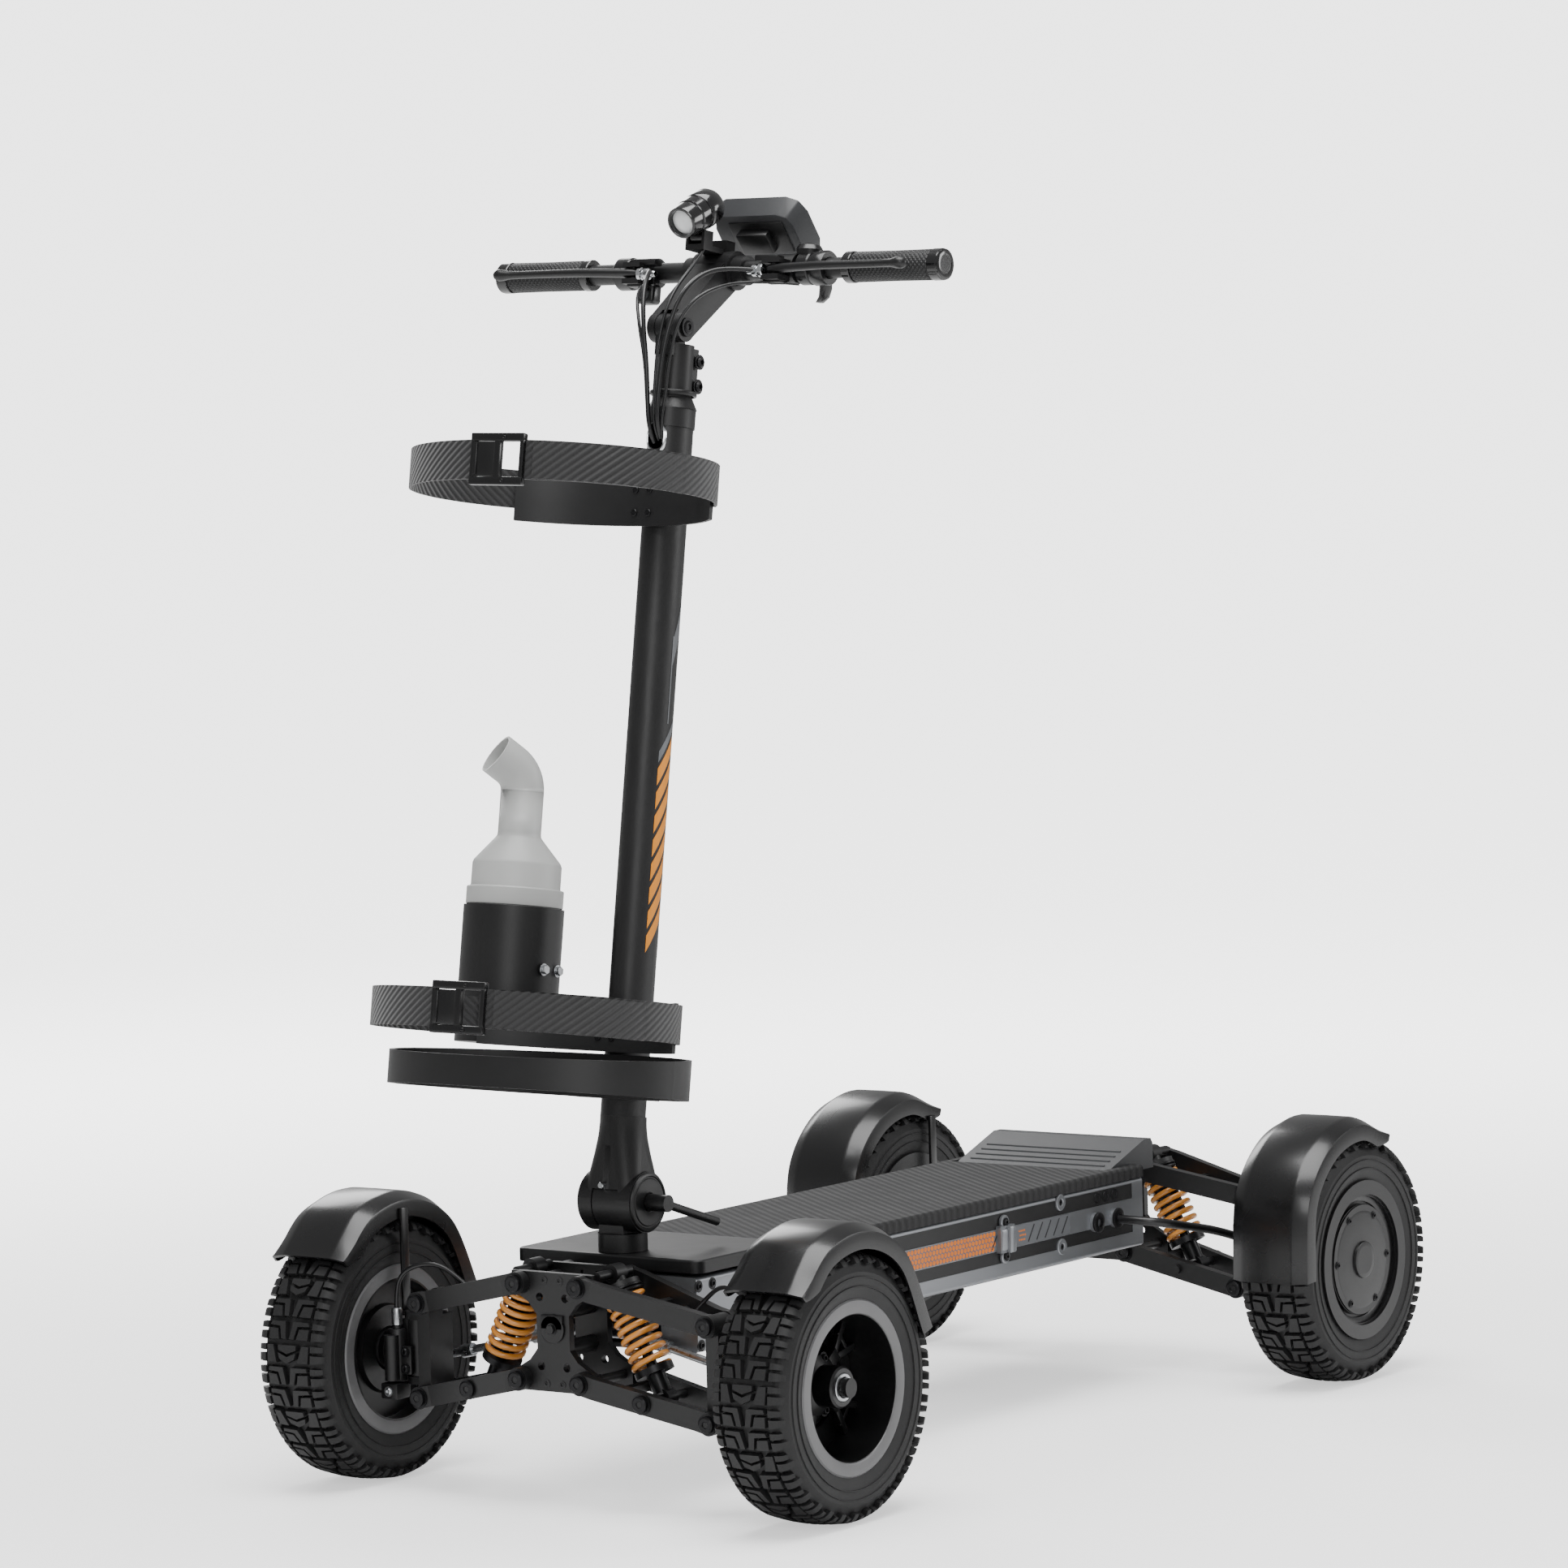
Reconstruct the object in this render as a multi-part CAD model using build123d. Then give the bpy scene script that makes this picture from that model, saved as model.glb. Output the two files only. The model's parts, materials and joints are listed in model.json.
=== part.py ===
from build123d import *
from math import atan2, cos, degrees, hypot, radians, sin, sqrt, tan
import os

# Four-wheel electric stand-on board with a folding steering column and a bag carrier.
# Millimetres. X points forward, Y to the rider's left, Z up. Lengths along X are laid out
# from the middle of the wheelbase, and the whole model is shifted at the end so that its
# origin is the middle of its footprint, on the ground.

# ---- overall sizes
wheelbase = 990.0
front_track = 588.0
rear_track = 614.0
tyre_diameter = 280.0
tyre_width = 88.0
bar_width = 580.0
column_lean = 9.5             # degrees back from upright
column_length = 917.0         # fold axis to the stem's tilt bolt

# ---- clearances
running_gap = 0.05            # radial, pin in its bore
side_gap = 0.5                # between faces that turn past each other
open_gap = 2.5                # at the joints where a closed linkage is left open
seat_gap = 0.02               # between pieces that are clamped together

# ---- wheels
rim_radius = 82.0
flange_radius = 90.0
flange_offset = 38.0          # outer face of the rim flange, from the wheel's middle
tyre_wall = 9.0
tread_depth = 7.0
hub_radius = 24.0
spoke_count = 5
axle_radius = 10.0
motor_axle_radius = 8.0
motor_cover_radius = 62.0

# ---- suspension, one corner, measured from the wheel centre and the middle plane
arm_inner_y = 40.0
arm_outer_y = 187.5
lower_inner_z = 133.4
arm_drop = 33.4               # outer pivot below the inner one
arm_spacing = 100.0           # upper arm above the lower arm
arm_height = 22.0
arm_leg = 11.0                # thickness of one leg along X
pivot_radius = 5.0
eye_radius = 12.0
bolt_head_radius = 8.5
bolt_head_height = 4.5
plate_thickness = 8.0
front_plate_x = 54.0          # rear face of the outboard plate, ahead of the axle
rear_plate_x = -11.0          # rear face of the inboard plate
upper_block = (18.5, 41.5)    # upright's upper eye, X from the axle
lower_block = (-8.0, 41.5)
kingpin_x = 15.0
kingpin_y = 214.0
kingpin_radius = 5.0
lug_thickness = 8.0
lug_radius = 14.0
knuckle_barrel = 12.0
steer_arm = 36.0
shock_bolt_y = 112.0
shock_top_y = 52.0
shock_top_z = 243.0
shock_x = 22.0
damper_radius = 13.0
rod_radius = 6.0
spring_radius = 21.0
spring_wire = 3.6
spring_turns = 8
rack_x = -21.0
rack_z = 172.0
rack_radius = 5.0
tie_radius = 4.5
tie_end_height = 5.0

# ---- mudguards, (X, Z) from the wheel centre: front tip, round the tyre, rear end
guard_line = [(102, 110), (52, 156), (-22, 167), (-92, 134), (-139, 48)]
guard_width = 98.0
guard_wall = 3.0
guard_skirt = 27.0
guard_steps = 4               # facets between two set points
rear_guard_turn = 23.0

# ---- deck
deck_front = 462.0
deck_rear = 398.0
deck_width = 230.0
deck_bottom = 155.5
deck_top = 234.0
deck_wall = 4.0
mat_thickness = 14.0
mat_front = 380.0
top_plate_front = 463.0
top_plate_rear = 300.0
top_plate_width = 240.0
top_plate_bottom = 238.5
top_plate_thickness = 14.0
kick_front = 335.0
kick_rear = 441.0
kick_height = 273.0
kick_width = 206.0

# ---- steering post and fold joint
post_x = 433.0
post_radius = 26.0
spindle_radius = 12.0
pitman_length = 44.0
steering_range = 22.5         # degrees each way, at the post
fold_z = 305.0
fold_radius = 32.0
fold_width = 67.0
tongue_width = 32.0
fold_pin_radius = 8.0
lever_boss_length = 27.0

# ---- column, measured along its own axis from the fold axis
tube_offset = 8.0             # tube axis ahead of the fold axis
tube_depth = 52.0
tube_breadth = 45.0
tube_wall = 3.0
neck_end = 88.0
collar_start = 812.0
collar_end = 845.0
port_w = 799.0                # cable port in the front of the tube
clamp_radius = 19.0
stem_pivot_u = 20.8
bar_u = -59.0
bar_w = 989.0
bar_radius = 11.1
clamp_bar_radius = 15.9
grip_length = 124.0
grip_radius = 17.0
lever_y = 92.0
lever_reach = 36.0            # lever ahead of the bar
lever_length = 170.0
lever_bend = 12.0
lever_radius = 5.0

# ---- carrier, along the column
loop_centre_u = 186.0
loop_depth = 288.0
loop_breadth = 336.0
strap_thickness = 3.5
strap_width = 40.0
buckle_angle = 8.0            # degrees to the left of straight ahead, round the loop
buckle_size = (9.0, 62.0, 53.0)
cradle_thickness = 4.0
cradle_height = 52.0
cradle_half_y = 127.0
upper_cradle_w = 703.5
lower_cradle_w = 153.0
upper_strap_w = 717.0
lower_strap_w = 162.0
tray_centre_u = 158.0
tray_depth = 244.0
tray_breadth = 344.0
tray_wall = 6.0
tray_bottom_w = 105.0
tray_height = 46.0
tray_slope = 3.5              # degrees that the rim falls towards the front
holder_u = 22.0
holder_y = -152.0
holder_radius = 53.5
holder_wall = 3.0
holder_w = 156.0
holder_height = 145.0
bottle_neck_radius = 23.0
bottle_pipe_top = 123.0        # above the holder's rim

# ---- worked out from the above
tyre_radius = tyre_diameter / 2
axle_z = tyre_radius
lean = radians(column_lean)
arm_length = hypot(arm_outer_y - arm_inner_y, arm_drop)
arm_slope = degrees(atan2(-arm_drop, arm_outer_y - arm_inner_y))
upper_inner_z = lower_inner_z + arm_spacing
lower_outer_z = lower_inner_z - arm_drop
upper_outer_z = upper_inner_z - arm_drop
outboard_face = front_plate_x + plate_thickness
shock_bolt_s = (shock_bolt_y - arm_inner_y) / cos(radians(arm_slope))
shock_bolt_z = lower_inner_z + (shock_bolt_y - arm_inner_y) * tan(radians(arm_slope))
shock_length = hypot(shock_bolt_y - shock_top_y, shock_top_z - shock_bolt_z)
shock_tilt = degrees(atan2(shock_bolt_y - shock_top_y, shock_top_z - shock_bolt_z))
tie_drop = (kingpin_y - arm_inner_y) * arm_drop / (arm_outer_y - arm_inner_y)
column_frame = Pos(post_x, 0, fold_z) * Rot(0, -column_lean, 0)
loop_front_u = loop_centre_u + loop_depth / 2
strap_half_depth = (loop_depth - strap_thickness) / 2
strap_half_breadth = (loop_breadth - strap_thickness) / 2
buckle_turn = radians(buckle_angle)
buckle_u = loop_centre_u + strap_half_depth * cos(buckle_turn)
buckle_y = strap_half_breadth * sin(buckle_turn)
buckle_heading = atan2(strap_half_depth * sin(buckle_turn), strap_half_breadth * cos(buckle_turn))
buckle_reach = (buckle_size[0] * cos(buckle_heading) + buckle_size[1] * sin(buckle_heading)) / 2
buckle_low_w = lower_strap_w + (strap_width - buckle_size[2]) / 2
length_front = post_x + (buckle_u + buckle_reach) * cos(lean) - buckle_low_w * sin(lean)
length_rear = wheelbase / 2 + tyre_radius
middle_x = (length_front - length_rear) / 2


def rod(start, end, radius):
    """Round bar between two points."""
    path = Edge.make_line(start, end)
    return Plane(origin=start, z_dir=path % 0) * extrude(Circle(radius), path.length)


def bar_x(x1, x2, y, z, radius):
    return Pos((x1 + x2) / 2, y, z) * Rot(0, 90, 0) * Cylinder(radius, abs(x2 - x1))


def bar_y(x, y1, y2, z, radius):
    return Pos(x, (y1 + y2) / 2, z) * Rot(90, 0, 0) * Cylinder(radius, abs(y2 - y1))


def bar_z(x, y, z1, z2, radius):
    return Pos(x, y, (z1 + z2) / 2) * Cylinder(radius, abs(z2 - z1))


def block(x1, x2, y1, y2, z1, z2):
    return Pos((x1 + x2) / 2, (y1 + y2) / 2, (z1 + z2) / 2) * Box(abs(x2 - x1), abs(y2 - y1), abs(z2 - z1))


def bolt_x(x1, x2, y, z):
    """Pivot bolt along X with a round head at each end."""
    shank = bar_x(x1 - bolt_head_height, x2 + bolt_head_height, y, z, pivot_radius)
    heads = bar_x(x1 - bolt_head_height, x1 - 0.2, y, z, bolt_head_radius)
    heads += bar_x(x2 + 0.2, x2 + bolt_head_height, y, z, bolt_head_radius)
    return shank + heads


# ---------------------------------------------------------------- wheels, about the Y axis
def tyre():
    height = tyre_radius - rim_radius
    body = Pos(rim_radius + height / 2, 0) * RectangleRounded(height, tyre_width, 25)
    cavity = RectangleRounded(height - tyre_wall, tyre_width - 2 * tyre_wall - 8, 18)
    body -= Pos(rim_radius + height / 2 - 8, 0) * cavity
    ring = revolve(body, Axis.Y)
    for side in (-1, 1):
        groove = Pos(tyre_radius, side * tyre_width / 6) * Rectangle(2 * tread_depth, 5)
        ring -= revolve(groove, Axis.Y)
    return ring


def rim():
    barrel = Pos(rim_radius - 4, 0) * Rectangle(7.9, 2 * flange_offset)
    for side in (-1, 1):
        barrel += Pos(flange_radius - 9, side * (flange_offset + 2)) * Rectangle(18, 4)
    wheel = revolve(barrel, Axis.Y)
    wheel += bar_y(0, -14, -6, 0, rim_radius - 4)
    wheel += bar_y(0, -30, 24, 0, hub_radius)
    for index in range(spoke_count):
        window = Pos(0, -10, 0) * Rot(0, index * 360 / spoke_count, 0) * Pos(52, 0, 0) * Box(26, 12, 34)
        wheel -= window
    return wheel - bar_y(0, -40, 40, 0, axle_radius + running_gap)


def hub_motor():
    wheel = revolve(Pos((rim_radius - 0.1) / 2, 0) * Rectangle(rim_radius - 0.1, 60), Axis.Y)
    for side in (-1, 1):
        flange = Pos(flange_radius - 8, side * (flange_offset + 2)) * Rectangle(16, 4)
        flange += Pos(rim_radius - 5, side * 34) * Rectangle(9.8, 9)
        wheel += revolve(flange, Axis.Y)
    wheel += bar_y(0, 29, 38, 0, motor_cover_radius)
    wheel += bar_y(0, 37, 42, 0, 20)
    return wheel - bar_y(0, -60, 34, 0, motor_axle_radius + running_gap)


def guard_points(inset):
    """Guard's outline, curved through the set points and moved towards the wheel by inset."""
    ends = [guard_line[0]] + guard_line + [guard_line[-1]]
    curve = []
    for index in range(len(guard_line) - 1):
        around = list(zip(*ends[index:index + 4]))
        for step in range(guard_steps):
            share = step / guard_steps
            curve.append([blend_curve(*values, share) for values in around])
    curve.append(guard_line[-1])
    points = []
    for x, z in curve:
        reach = hypot(x, z)
        points.append((x * (reach - inset) / reach, z * (reach - inset) / reach))
    return points


def blend_curve(before, start, end, after, share):
    """Smooth curve from start to end that also follows the values before and after them."""
    rise = (end - before) * share
    bend = (2 * before - 5 * start + 4 * end - after) * share ** 2
    turn = (3 * start - before - 3 * end + after) * share ** 3
    return start + (rise + bend + turn) / 2


def guard_band(inner_inset, y1, y2):
    outer = guard_points(0)
    inner = guard_points(inner_inset)
    outline = Polyline(*[(x, 0, z) for x, z in outer + inner[::-1]], close=True)
    return Pos(0, y1, 0) * extrude(make_face(outline), y2 - y1, dir=(0, 1, 0))


def mudguard(side, front):
    """Guard over one wheel, with its stay down to the upright; placed in the board's frame."""
    half = guard_width / 2
    shell = guard_band(guard_wall, -half, half)
    for edge in (-1, 1):
        skirt_y = sorted((edge * half, edge * (half - guard_wall)))
        shell += guard_band(guard_skirt, *skirt_y)
    track = front_track if front else rear_track
    inner_y = track / 2 - half
    if not front:
        shell = Rot(0, -rear_guard_turn, 0) * shell
    shell = Pos(0, track / 2, axle_z) * shell
    stay_top = axle_z + hypot(*guard_line[2]) - guard_skirt / 2
    stay_bottom = axle_z + 38
    stay_in = kingpin_y + lug_radius + 8
    stay_x = 0 if front else 26
    shell += block(stay_x - 12, stay_x + 12, inner_y - 4, inner_y + 0.5, stay_bottom, stay_top)
    shell += block(stay_x - 12, stay_x + 12, stay_in + seat_gap, inner_y, stay_bottom, stay_bottom + 5)
    return corner(shell, side, front)


def corner(shape, side, front):
    """Puts a left front shape, with X from the axle, at its corner."""
    if side < 0:
        shape = mirror(shape, Plane.XZ)
    if front:
        return Pos(wheelbase / 2, 0, 0) * shape
    return Pos(-wheelbase / 2, 0, 0) * mirror(shape, Plane.YZ)


# ---------------------------------------------------------------- suspension
def wishbone(inner_z, block_span, shock):
    """A-arm with two legs, eyes at both ends and cross webs."""
    inner_front = (outboard_face + side_gap, outboard_face + side_gap + arm_leg)
    inner_rear = (rear_plate_x - side_gap - arm_leg, rear_plate_x - side_gap)
    outer_front = (block_span[1] + side_gap, block_span[1] + side_gap + arm_leg)
    outer_rear = (block_span[0] - side_gap - arm_leg, block_span[0] - side_gap)
    arm = None
    half = arm_height / 2
    leg_root = eye_radius + 5
    leg_tip = arm_length - eye_radius - 3
    for inner, outer in ((inner_front, outer_front), (inner_rear, outer_rear)):
        outline = Polyline((inner[0], 0), (inner[1], 0), (inner[1], leg_root), (outer[1], leg_tip),
                           (outer[1], arm_length), (outer[0], arm_length), (outer[0], leg_tip),
                           (inner[0], leg_root), close=True)
        leg = Pos(0, 0, -half) * extrude(make_face(outline), arm_height)
        leg += bar_x(inner[0], inner[1], 0, 0, eye_radius)
        leg += bar_x(outer[0], outer[1], arm_length, 0, eye_radius)
        arm = leg if arm is None else arm + leg
    web_places = (26, arm_length - 24) if shock else (70, 98, arm_length - 26)
    for place in web_places:
        share = place / arm_length
        low = inner_rear[0] + (outer_rear[0] - inner_rear[0]) * share + arm_leg / 2
        high = inner_front[1] + (outer_front[1] - inner_front[1]) * share - arm_leg / 2
        depth = arm_height / 2 - 2 if shock else arm_height / 2
        arm += block(low, high, place - 3.5, place + 3.5, -half, -half + depth)
    for place in (0, arm_length):
        arm -= bar_x(-60, 90, place, 0, pivot_radius + running_gap)
    if shock:
        share = shock_bolt_s / arm_length
        low = inner_rear[0] + (outer_rear[0] - inner_rear[0]) * share
        high = inner_front[1] + (outer_front[1] - inner_front[1]) * share
        arm += bar_x(low - bolt_head_height, high + bolt_head_height, shock_bolt_s, 0, pivot_radius)
        arm += bar_x(high, high + bolt_head_height, shock_bolt_s, 0, bolt_head_radius)
    return Pos(0, arm_inner_y, inner_z) * Rot(arm_slope, 0, 0) * arm


def upright(front):
    """Link between the arms' outer ends; the front one carries the kingpin, the rear one the axle."""
    middle = (upper_block[0] + upper_block[1]) / 2
    body = bar_x(lower_block[0], lower_block[1], arm_outer_y, lower_outer_z, eye_radius - 1)
    body += bar_x(upper_block[0], upper_block[1], arm_outer_y, upper_outer_z, eye_radius - 1)
    web_back = upper_block[0] - 16
    web = (arm_outer_y - 8, arm_outer_y + 8)
    body += block(web_back, upper_block[1], *web, lower_outer_z + 4, upper_outer_z - 15)
    body += block(upper_block[0], upper_block[1], *web, upper_outer_z - 16, upper_outer_z)
    for z, span in ((lower_outer_z, lower_block), (upper_outer_z, upper_block)):
        body += bolt_x(span[0] - side_gap - arm_leg, span[1] + side_gap + arm_leg, arm_outer_y, z)
    if front:
        for low in (lower_lug_z(), upper_lug_z()):
            body += bar_z(kingpin_x, kingpin_y, low, low + lug_thickness, lug_radius)
            lug = (kingpin_x - lug_radius, kingpin_x + lug_radius)
            body += block(*lug, arm_outer_y, kingpin_y, low, low + lug_thickness)
        pin_top = upper_lug_z() + lug_thickness + 4
        body += bar_z(kingpin_x, kingpin_y, lower_lug_z() - 4, pin_top, kingpin_radius)
    else:
        body += block(-24, middle, arm_outer_y + 2, arm_outer_y + 12, axle_z - 22, axle_z + 34)
        body += bar_y(0, arm_outer_y + 10, rear_track / 2 - 50, axle_z, 19)
        body += bar_y(0, arm_outer_y + 10, rear_track / 2 + 33, axle_z, motor_axle_radius)
        stay_in = kingpin_y + lug_radius + 8
        body += block(14, 38, arm_outer_y, stay_in, axle_z + 38, axle_z + 43)
        body += block(14, 38, arm_outer_y, arm_outer_y + 8, axle_z + 20, axle_z + 42)
    return body


def lower_lug_z():
    return axle_z - 31


def upper_lug_z():
    return axle_z + 38


def steering_knuckle():
    """Turns on the kingpin; carries the stub axle, the brake caliper and the steering arm."""
    low = lower_lug_z() + lug_thickness + side_gap
    high = upper_lug_z() - side_gap
    inner = kingpin_y + lug_radius + side_gap
    body = bar_z(kingpin_x, kingpin_y, low, high, knuckle_barrel)
    body += block(kingpin_x - 9, kingpin_x + 9, kingpin_y, inner + 2, low, high)
    body += block(-26, kingpin_x + 10, inner, inner + 8, axle_z - 24, axle_z + 30)
    body += block(-12, 12, inner, inner + 7.5, axle_z + 30, axle_z + 43)
    body += bar_y(0, inner, front_track / 2 - 33, axle_z, 20)
    body += bar_y(0, inner, front_track / 2 + 36, axle_z, axle_radius)
    body += block(kingpin_x - steer_arm, kingpin_x, kingpin_y - 7, kingpin_y + 7, low, low + 6)
    body += bar_z(kingpin_x - steer_arm, kingpin_y, low, low + 6, 9)
    body -= bar_z(kingpin_x, kingpin_y, low - 10, high + 10, kingpin_radius + running_gap)
    caliper_x = kingpin_x + 21
    body += bar_z(caliper_x + 4, inner + 4, axle_z - 26, axle_z + 22, 8)
    body += block(kingpin_x + 8, caliper_x + 4, inner, inner + 8, axle_z - 10, axle_z + 14)
    return body


def shock_frame():
    """Origin on the shock's top bolt, Z down its length."""
    return Pos(shock_x, shock_top_y, shock_top_z) * Rot(180 + shock_tilt, 0, 0)


def damper_body():
    shape = bar_x(-9, 9, 0, 0, 10) + bar_z(0, 0, 4, 14, 8.5) + bar_z(0, 0, 12, 76, damper_radius)
    shape += bar_z(0, 0, 12, 17, spring_radius)
    shape -= bar_z(0, 0, 40, 80, rod_radius + side_gap)
    shape -= bar_x(-20, 20, 0, 0, pivot_radius + running_gap)
    return shock_frame() * shape


def damper_rod():
    shape = bar_z(0, 0, 56, shock_length - 8, rod_radius)
    shape += bar_z(0, 0, shock_length - 34, shock_length - 27, spring_radius)
    shape += bar_z(0, 0, shock_length - 28, shock_length - 6, 10)
    shape += bar_x(-8, 8, 0, shock_length, 11)
    shape -= bar_x(-20, 20, 0, shock_length, pivot_radius + open_gap)
    return shock_frame() * shape


def coil_spring():
    """The coil as closed turns at its real pitch."""
    start = 17 + spring_wire + side_gap
    end = shock_length - 34 - spring_wire - side_gap
    pitch = (end - start) / (spring_turns - 1)
    turns = []
    for index in range(spring_turns):
        turns.append(Pos(0, 0, start + index * pitch) * Torus(spring_radius - spring_wire, spring_wire))
    return [shock_frame() * turn for turn in turns]


def tie_rod():
    inner = (rack_x, arm_inner_y, rack_z)
    outer = (rack_x, kingpin_y, rack_z - tie_drop)
    slope = degrees(atan2(-tie_drop, kingpin_y - arm_inner_y))
    shape = rod(inner, outer, tie_radius)
    shape += Pos(*outer) * Rot(slope, 0, 0) * Cylinder(9, tie_end_height)
    shape += Pos(*inner) * Sphere(7)
    for share in (0.2, 0.75):
        low = [a + (b - a) * share for a, b in zip(inner, outer)]
        high = [a + (b - a) * (share + 0.08) for a, b in zip(inner, outer)]
        shape += rod(low, high, 7)
    return shape


def steering_rack():
    """Slide bar between the tie rods, with a plate back under the post for the pitman pin."""
    bar = wheelbase / 2 + rack_x
    reach = arm_inner_y - 7 - open_gap
    travel = pitman_length * sin(radians(steering_range))
    low = rack_z - rack_radius - 0.5
    shape = bar_y(bar, -reach, reach, rack_z, rack_radius)
    shape += block(post_x - pitman_length - 14, bar, -reach - 12, reach + 12, low, low + 5)
    shape -= block(bar - 12, bar + 6, -reach - 20, -reach + 1, low - 1, low + 6)
    shape -= block(bar - 12, bar + 6, reach - 1, reach + 20, low - 1, low + 6)
    window = spindle_radius + travel + 2
    ends = (post_x - spindle_radius - 3, post_x + spindle_radius + 3)
    shape -= block(*ends, -window, window, low - 1, low + 6)
    pin_x = post_x - pitman_length
    return shape - block(pin_x - 6, pin_x + 8, -4.6, 4.6, low - 1, low + 6)


def bulkheads():
    """Two H-shaped plates, the arms' pivot bolts, the shocks' top bolts and two spacers per axle."""
    half_waist = 21.0
    top = upper_inner_z + 12
    bottom = lower_inner_z - 12
    right = [(52, bottom), (52, bottom + 20), (half_waist + 10, bottom + 32), (half_waist, bottom + 44),
             (half_waist, top - 44), (half_waist + 10, top - 32), (52, top - 20), (52, top)]
    outline = right + [(-y, z) for y, z in right[::-1]]
    made = []
    for front in (True, False):
        for x in (rear_plate_x, front_plate_x):
            wire = Polyline(*[(x, y, z) for y, z in outline], close=True)
            plate = extrude(make_face(wire), plate_thickness, dir=(1, 0, 0))
            for z in ((lower_inner_z + 14), (upper_inner_z - 14)):
                for y in (-16.5, 16.5):
                    plate -= bar_x(x - 1, x + plate_thickness + 1, y, z, 4.5)
            for z in (bottom + 8, top - 8):
                for y in (-10, 10):
                    plate -= bar_x(x - 1, x + plate_thickness + 1, y, z, 2)
            made.append(place(plate, front))
        for side in (-1, 1):
            for z in (lower_inner_z, upper_inner_z):
                low = rear_plate_x - side_gap - arm_leg
                high = outboard_face + side_gap + arm_leg
                made.append(place(bolt_x(low, high, side * arm_inner_y, z), front))
            ends = (rear_plate_x + plate_thickness, front_plate_x)
            shock_bolt = bar_x(*ends, side * shock_top_y, shock_top_z, pivot_radius)
            made.append(place(shock_bolt, front))
        for z in (lower_inner_z + 30, upper_inner_z - 30):
            made.append(place(bar_x(rear_plate_x + plate_thickness, front_plate_x, 0, z, 9), front))
    solid = made[0]
    for piece in made[1:]:
        solid += piece
    return solid


def place(shape, front):
    """Moves a shape with X from the axle to its axle; the rear one faces backwards."""
    if front:
        return Pos(wheelbase / 2, 0, 0) * shape
    return Pos(-wheelbase / 2, 0, 0) * mirror(shape, Plane.YZ)


# ---------------------------------------------------------------- deck
def deck_housing():
    half = deck_width / 2
    body = block(-deck_rear, deck_front, -half, half, deck_bottom, deck_top)
    body = fillet(body.edges().filter_by(Axis.X), 5)
    body -= block(-deck_rear + 8, deck_front - 8, -half + deck_wall, half - deck_wall,
                  deck_bottom + deck_wall, deck_top - deck_wall)
    for side in (-1, 1):
        for low, high in ((deck_bottom + 18, deck_bottom + 32), (deck_top - 22, deck_top - 5)):
            skin = (side * (half - 1.2), side * (half + 1))
            body -= block(-deck_rear + 22, deck_front - 90, *skin, low, high)
    body -= block(deck_front - 20, deck_front + 1, -68, 68, rack_z - 12, rack_z + 10)
    body -= bar_z(post_x, 0, deck_top - 8, deck_top + 1, spindle_radius + running_gap)
    for side in (-1, 1):
        for x in (-297, -338):
            body += bar_y(x, side * (half - 1), side * (half + 4), deck_bottom + 39, 11)
        body += block(-125, -97, side * (half - 1), side * (half + 6), deck_bottom + 30, deck_bottom + 60)
    half_base = wheelbase / 2 + rear_plate_x
    for front_x, back_x in ((deck_front, half_base), (-deck_rear, -half_base)):
        low_x, high_x = sorted((front_x, back_x))
        body += block(low_x, high_x, -18, 18, deck_top - 38, deck_top - 6)
    return body


def deck_mat():
    half = deck_width / 2
    body = block(-deck_rear - 1, mat_front, -half - 1, half + 1, deck_top, deck_top + mat_thickness)
    body = fillet(body.edges().group_by(Axis.Z)[-1], 4)
    low = deck_top + 4.4
    cut = block(mat_front - 90, mat_front + 5, -half - 5, half + 5, low, deck_top + mat_thickness + 1)
    body -= cut
    body -= block(-kick_rear - 5, -kick_front + 1, -kick_width / 2 - 0.5, kick_width / 2 + 0.5,
                  deck_top + 5, deck_top + mat_thickness + 1)
    return body


def top_plate():
    low = top_plate_bottom
    body = block(top_plate_rear, top_plate_front, -top_plate_width / 2, top_plate_width / 2,
                 low, low + top_plate_thickness)
    body = fillet(body.edges().filter_by(Axis.Z), 12)
    body = fillet(body.edges().group_by(Axis.Z)[-1], 2.5)
    body += block(mat_front + 1, top_plate_front - 30, -90, 90, deck_top, low)
    return body - bar_z(post_x, 0, deck_top - 1, low + 30, spindle_radius + running_gap)


def kick_plate():
    """Raised wedge at the tail with ribs across it."""
    base = deck_top + 5
    profile = Polyline((-kick_front, 0, base), (-kick_front, 0, base + 3), (-kick_rear + 18, 0, kick_height),
                       (-kick_rear + 4, 0, kick_height), (-kick_rear, 0, kick_height - 6),
                       (-kick_rear, 0, base), close=True)
    wedge = Pos(0, -kick_width / 2, 0) * extrude(make_face(profile), kick_width, dir=(0, 1, 0))
    rise = kick_height - base - 3
    run = kick_rear - 18 - kick_front
    for index in range(5):
        share = 0.12 + 0.13 * index
        wedge += bar_y(-kick_front - run * share, -kick_width / 2 + 12, kick_width / 2 - 12,
                       base + 2.2 + rise * share, 1.8)
    return wedge


def battery_pack():
    half = deck_width / 2 - deck_wall - 6
    floor = deck_bottom + deck_wall
    pack = block(-240, 320, -half, half, floor, floor + 58)
    controller = block(-370, -260, -half + 20, half - 20, floor, floor + 42)
    return pack + controller


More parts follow.
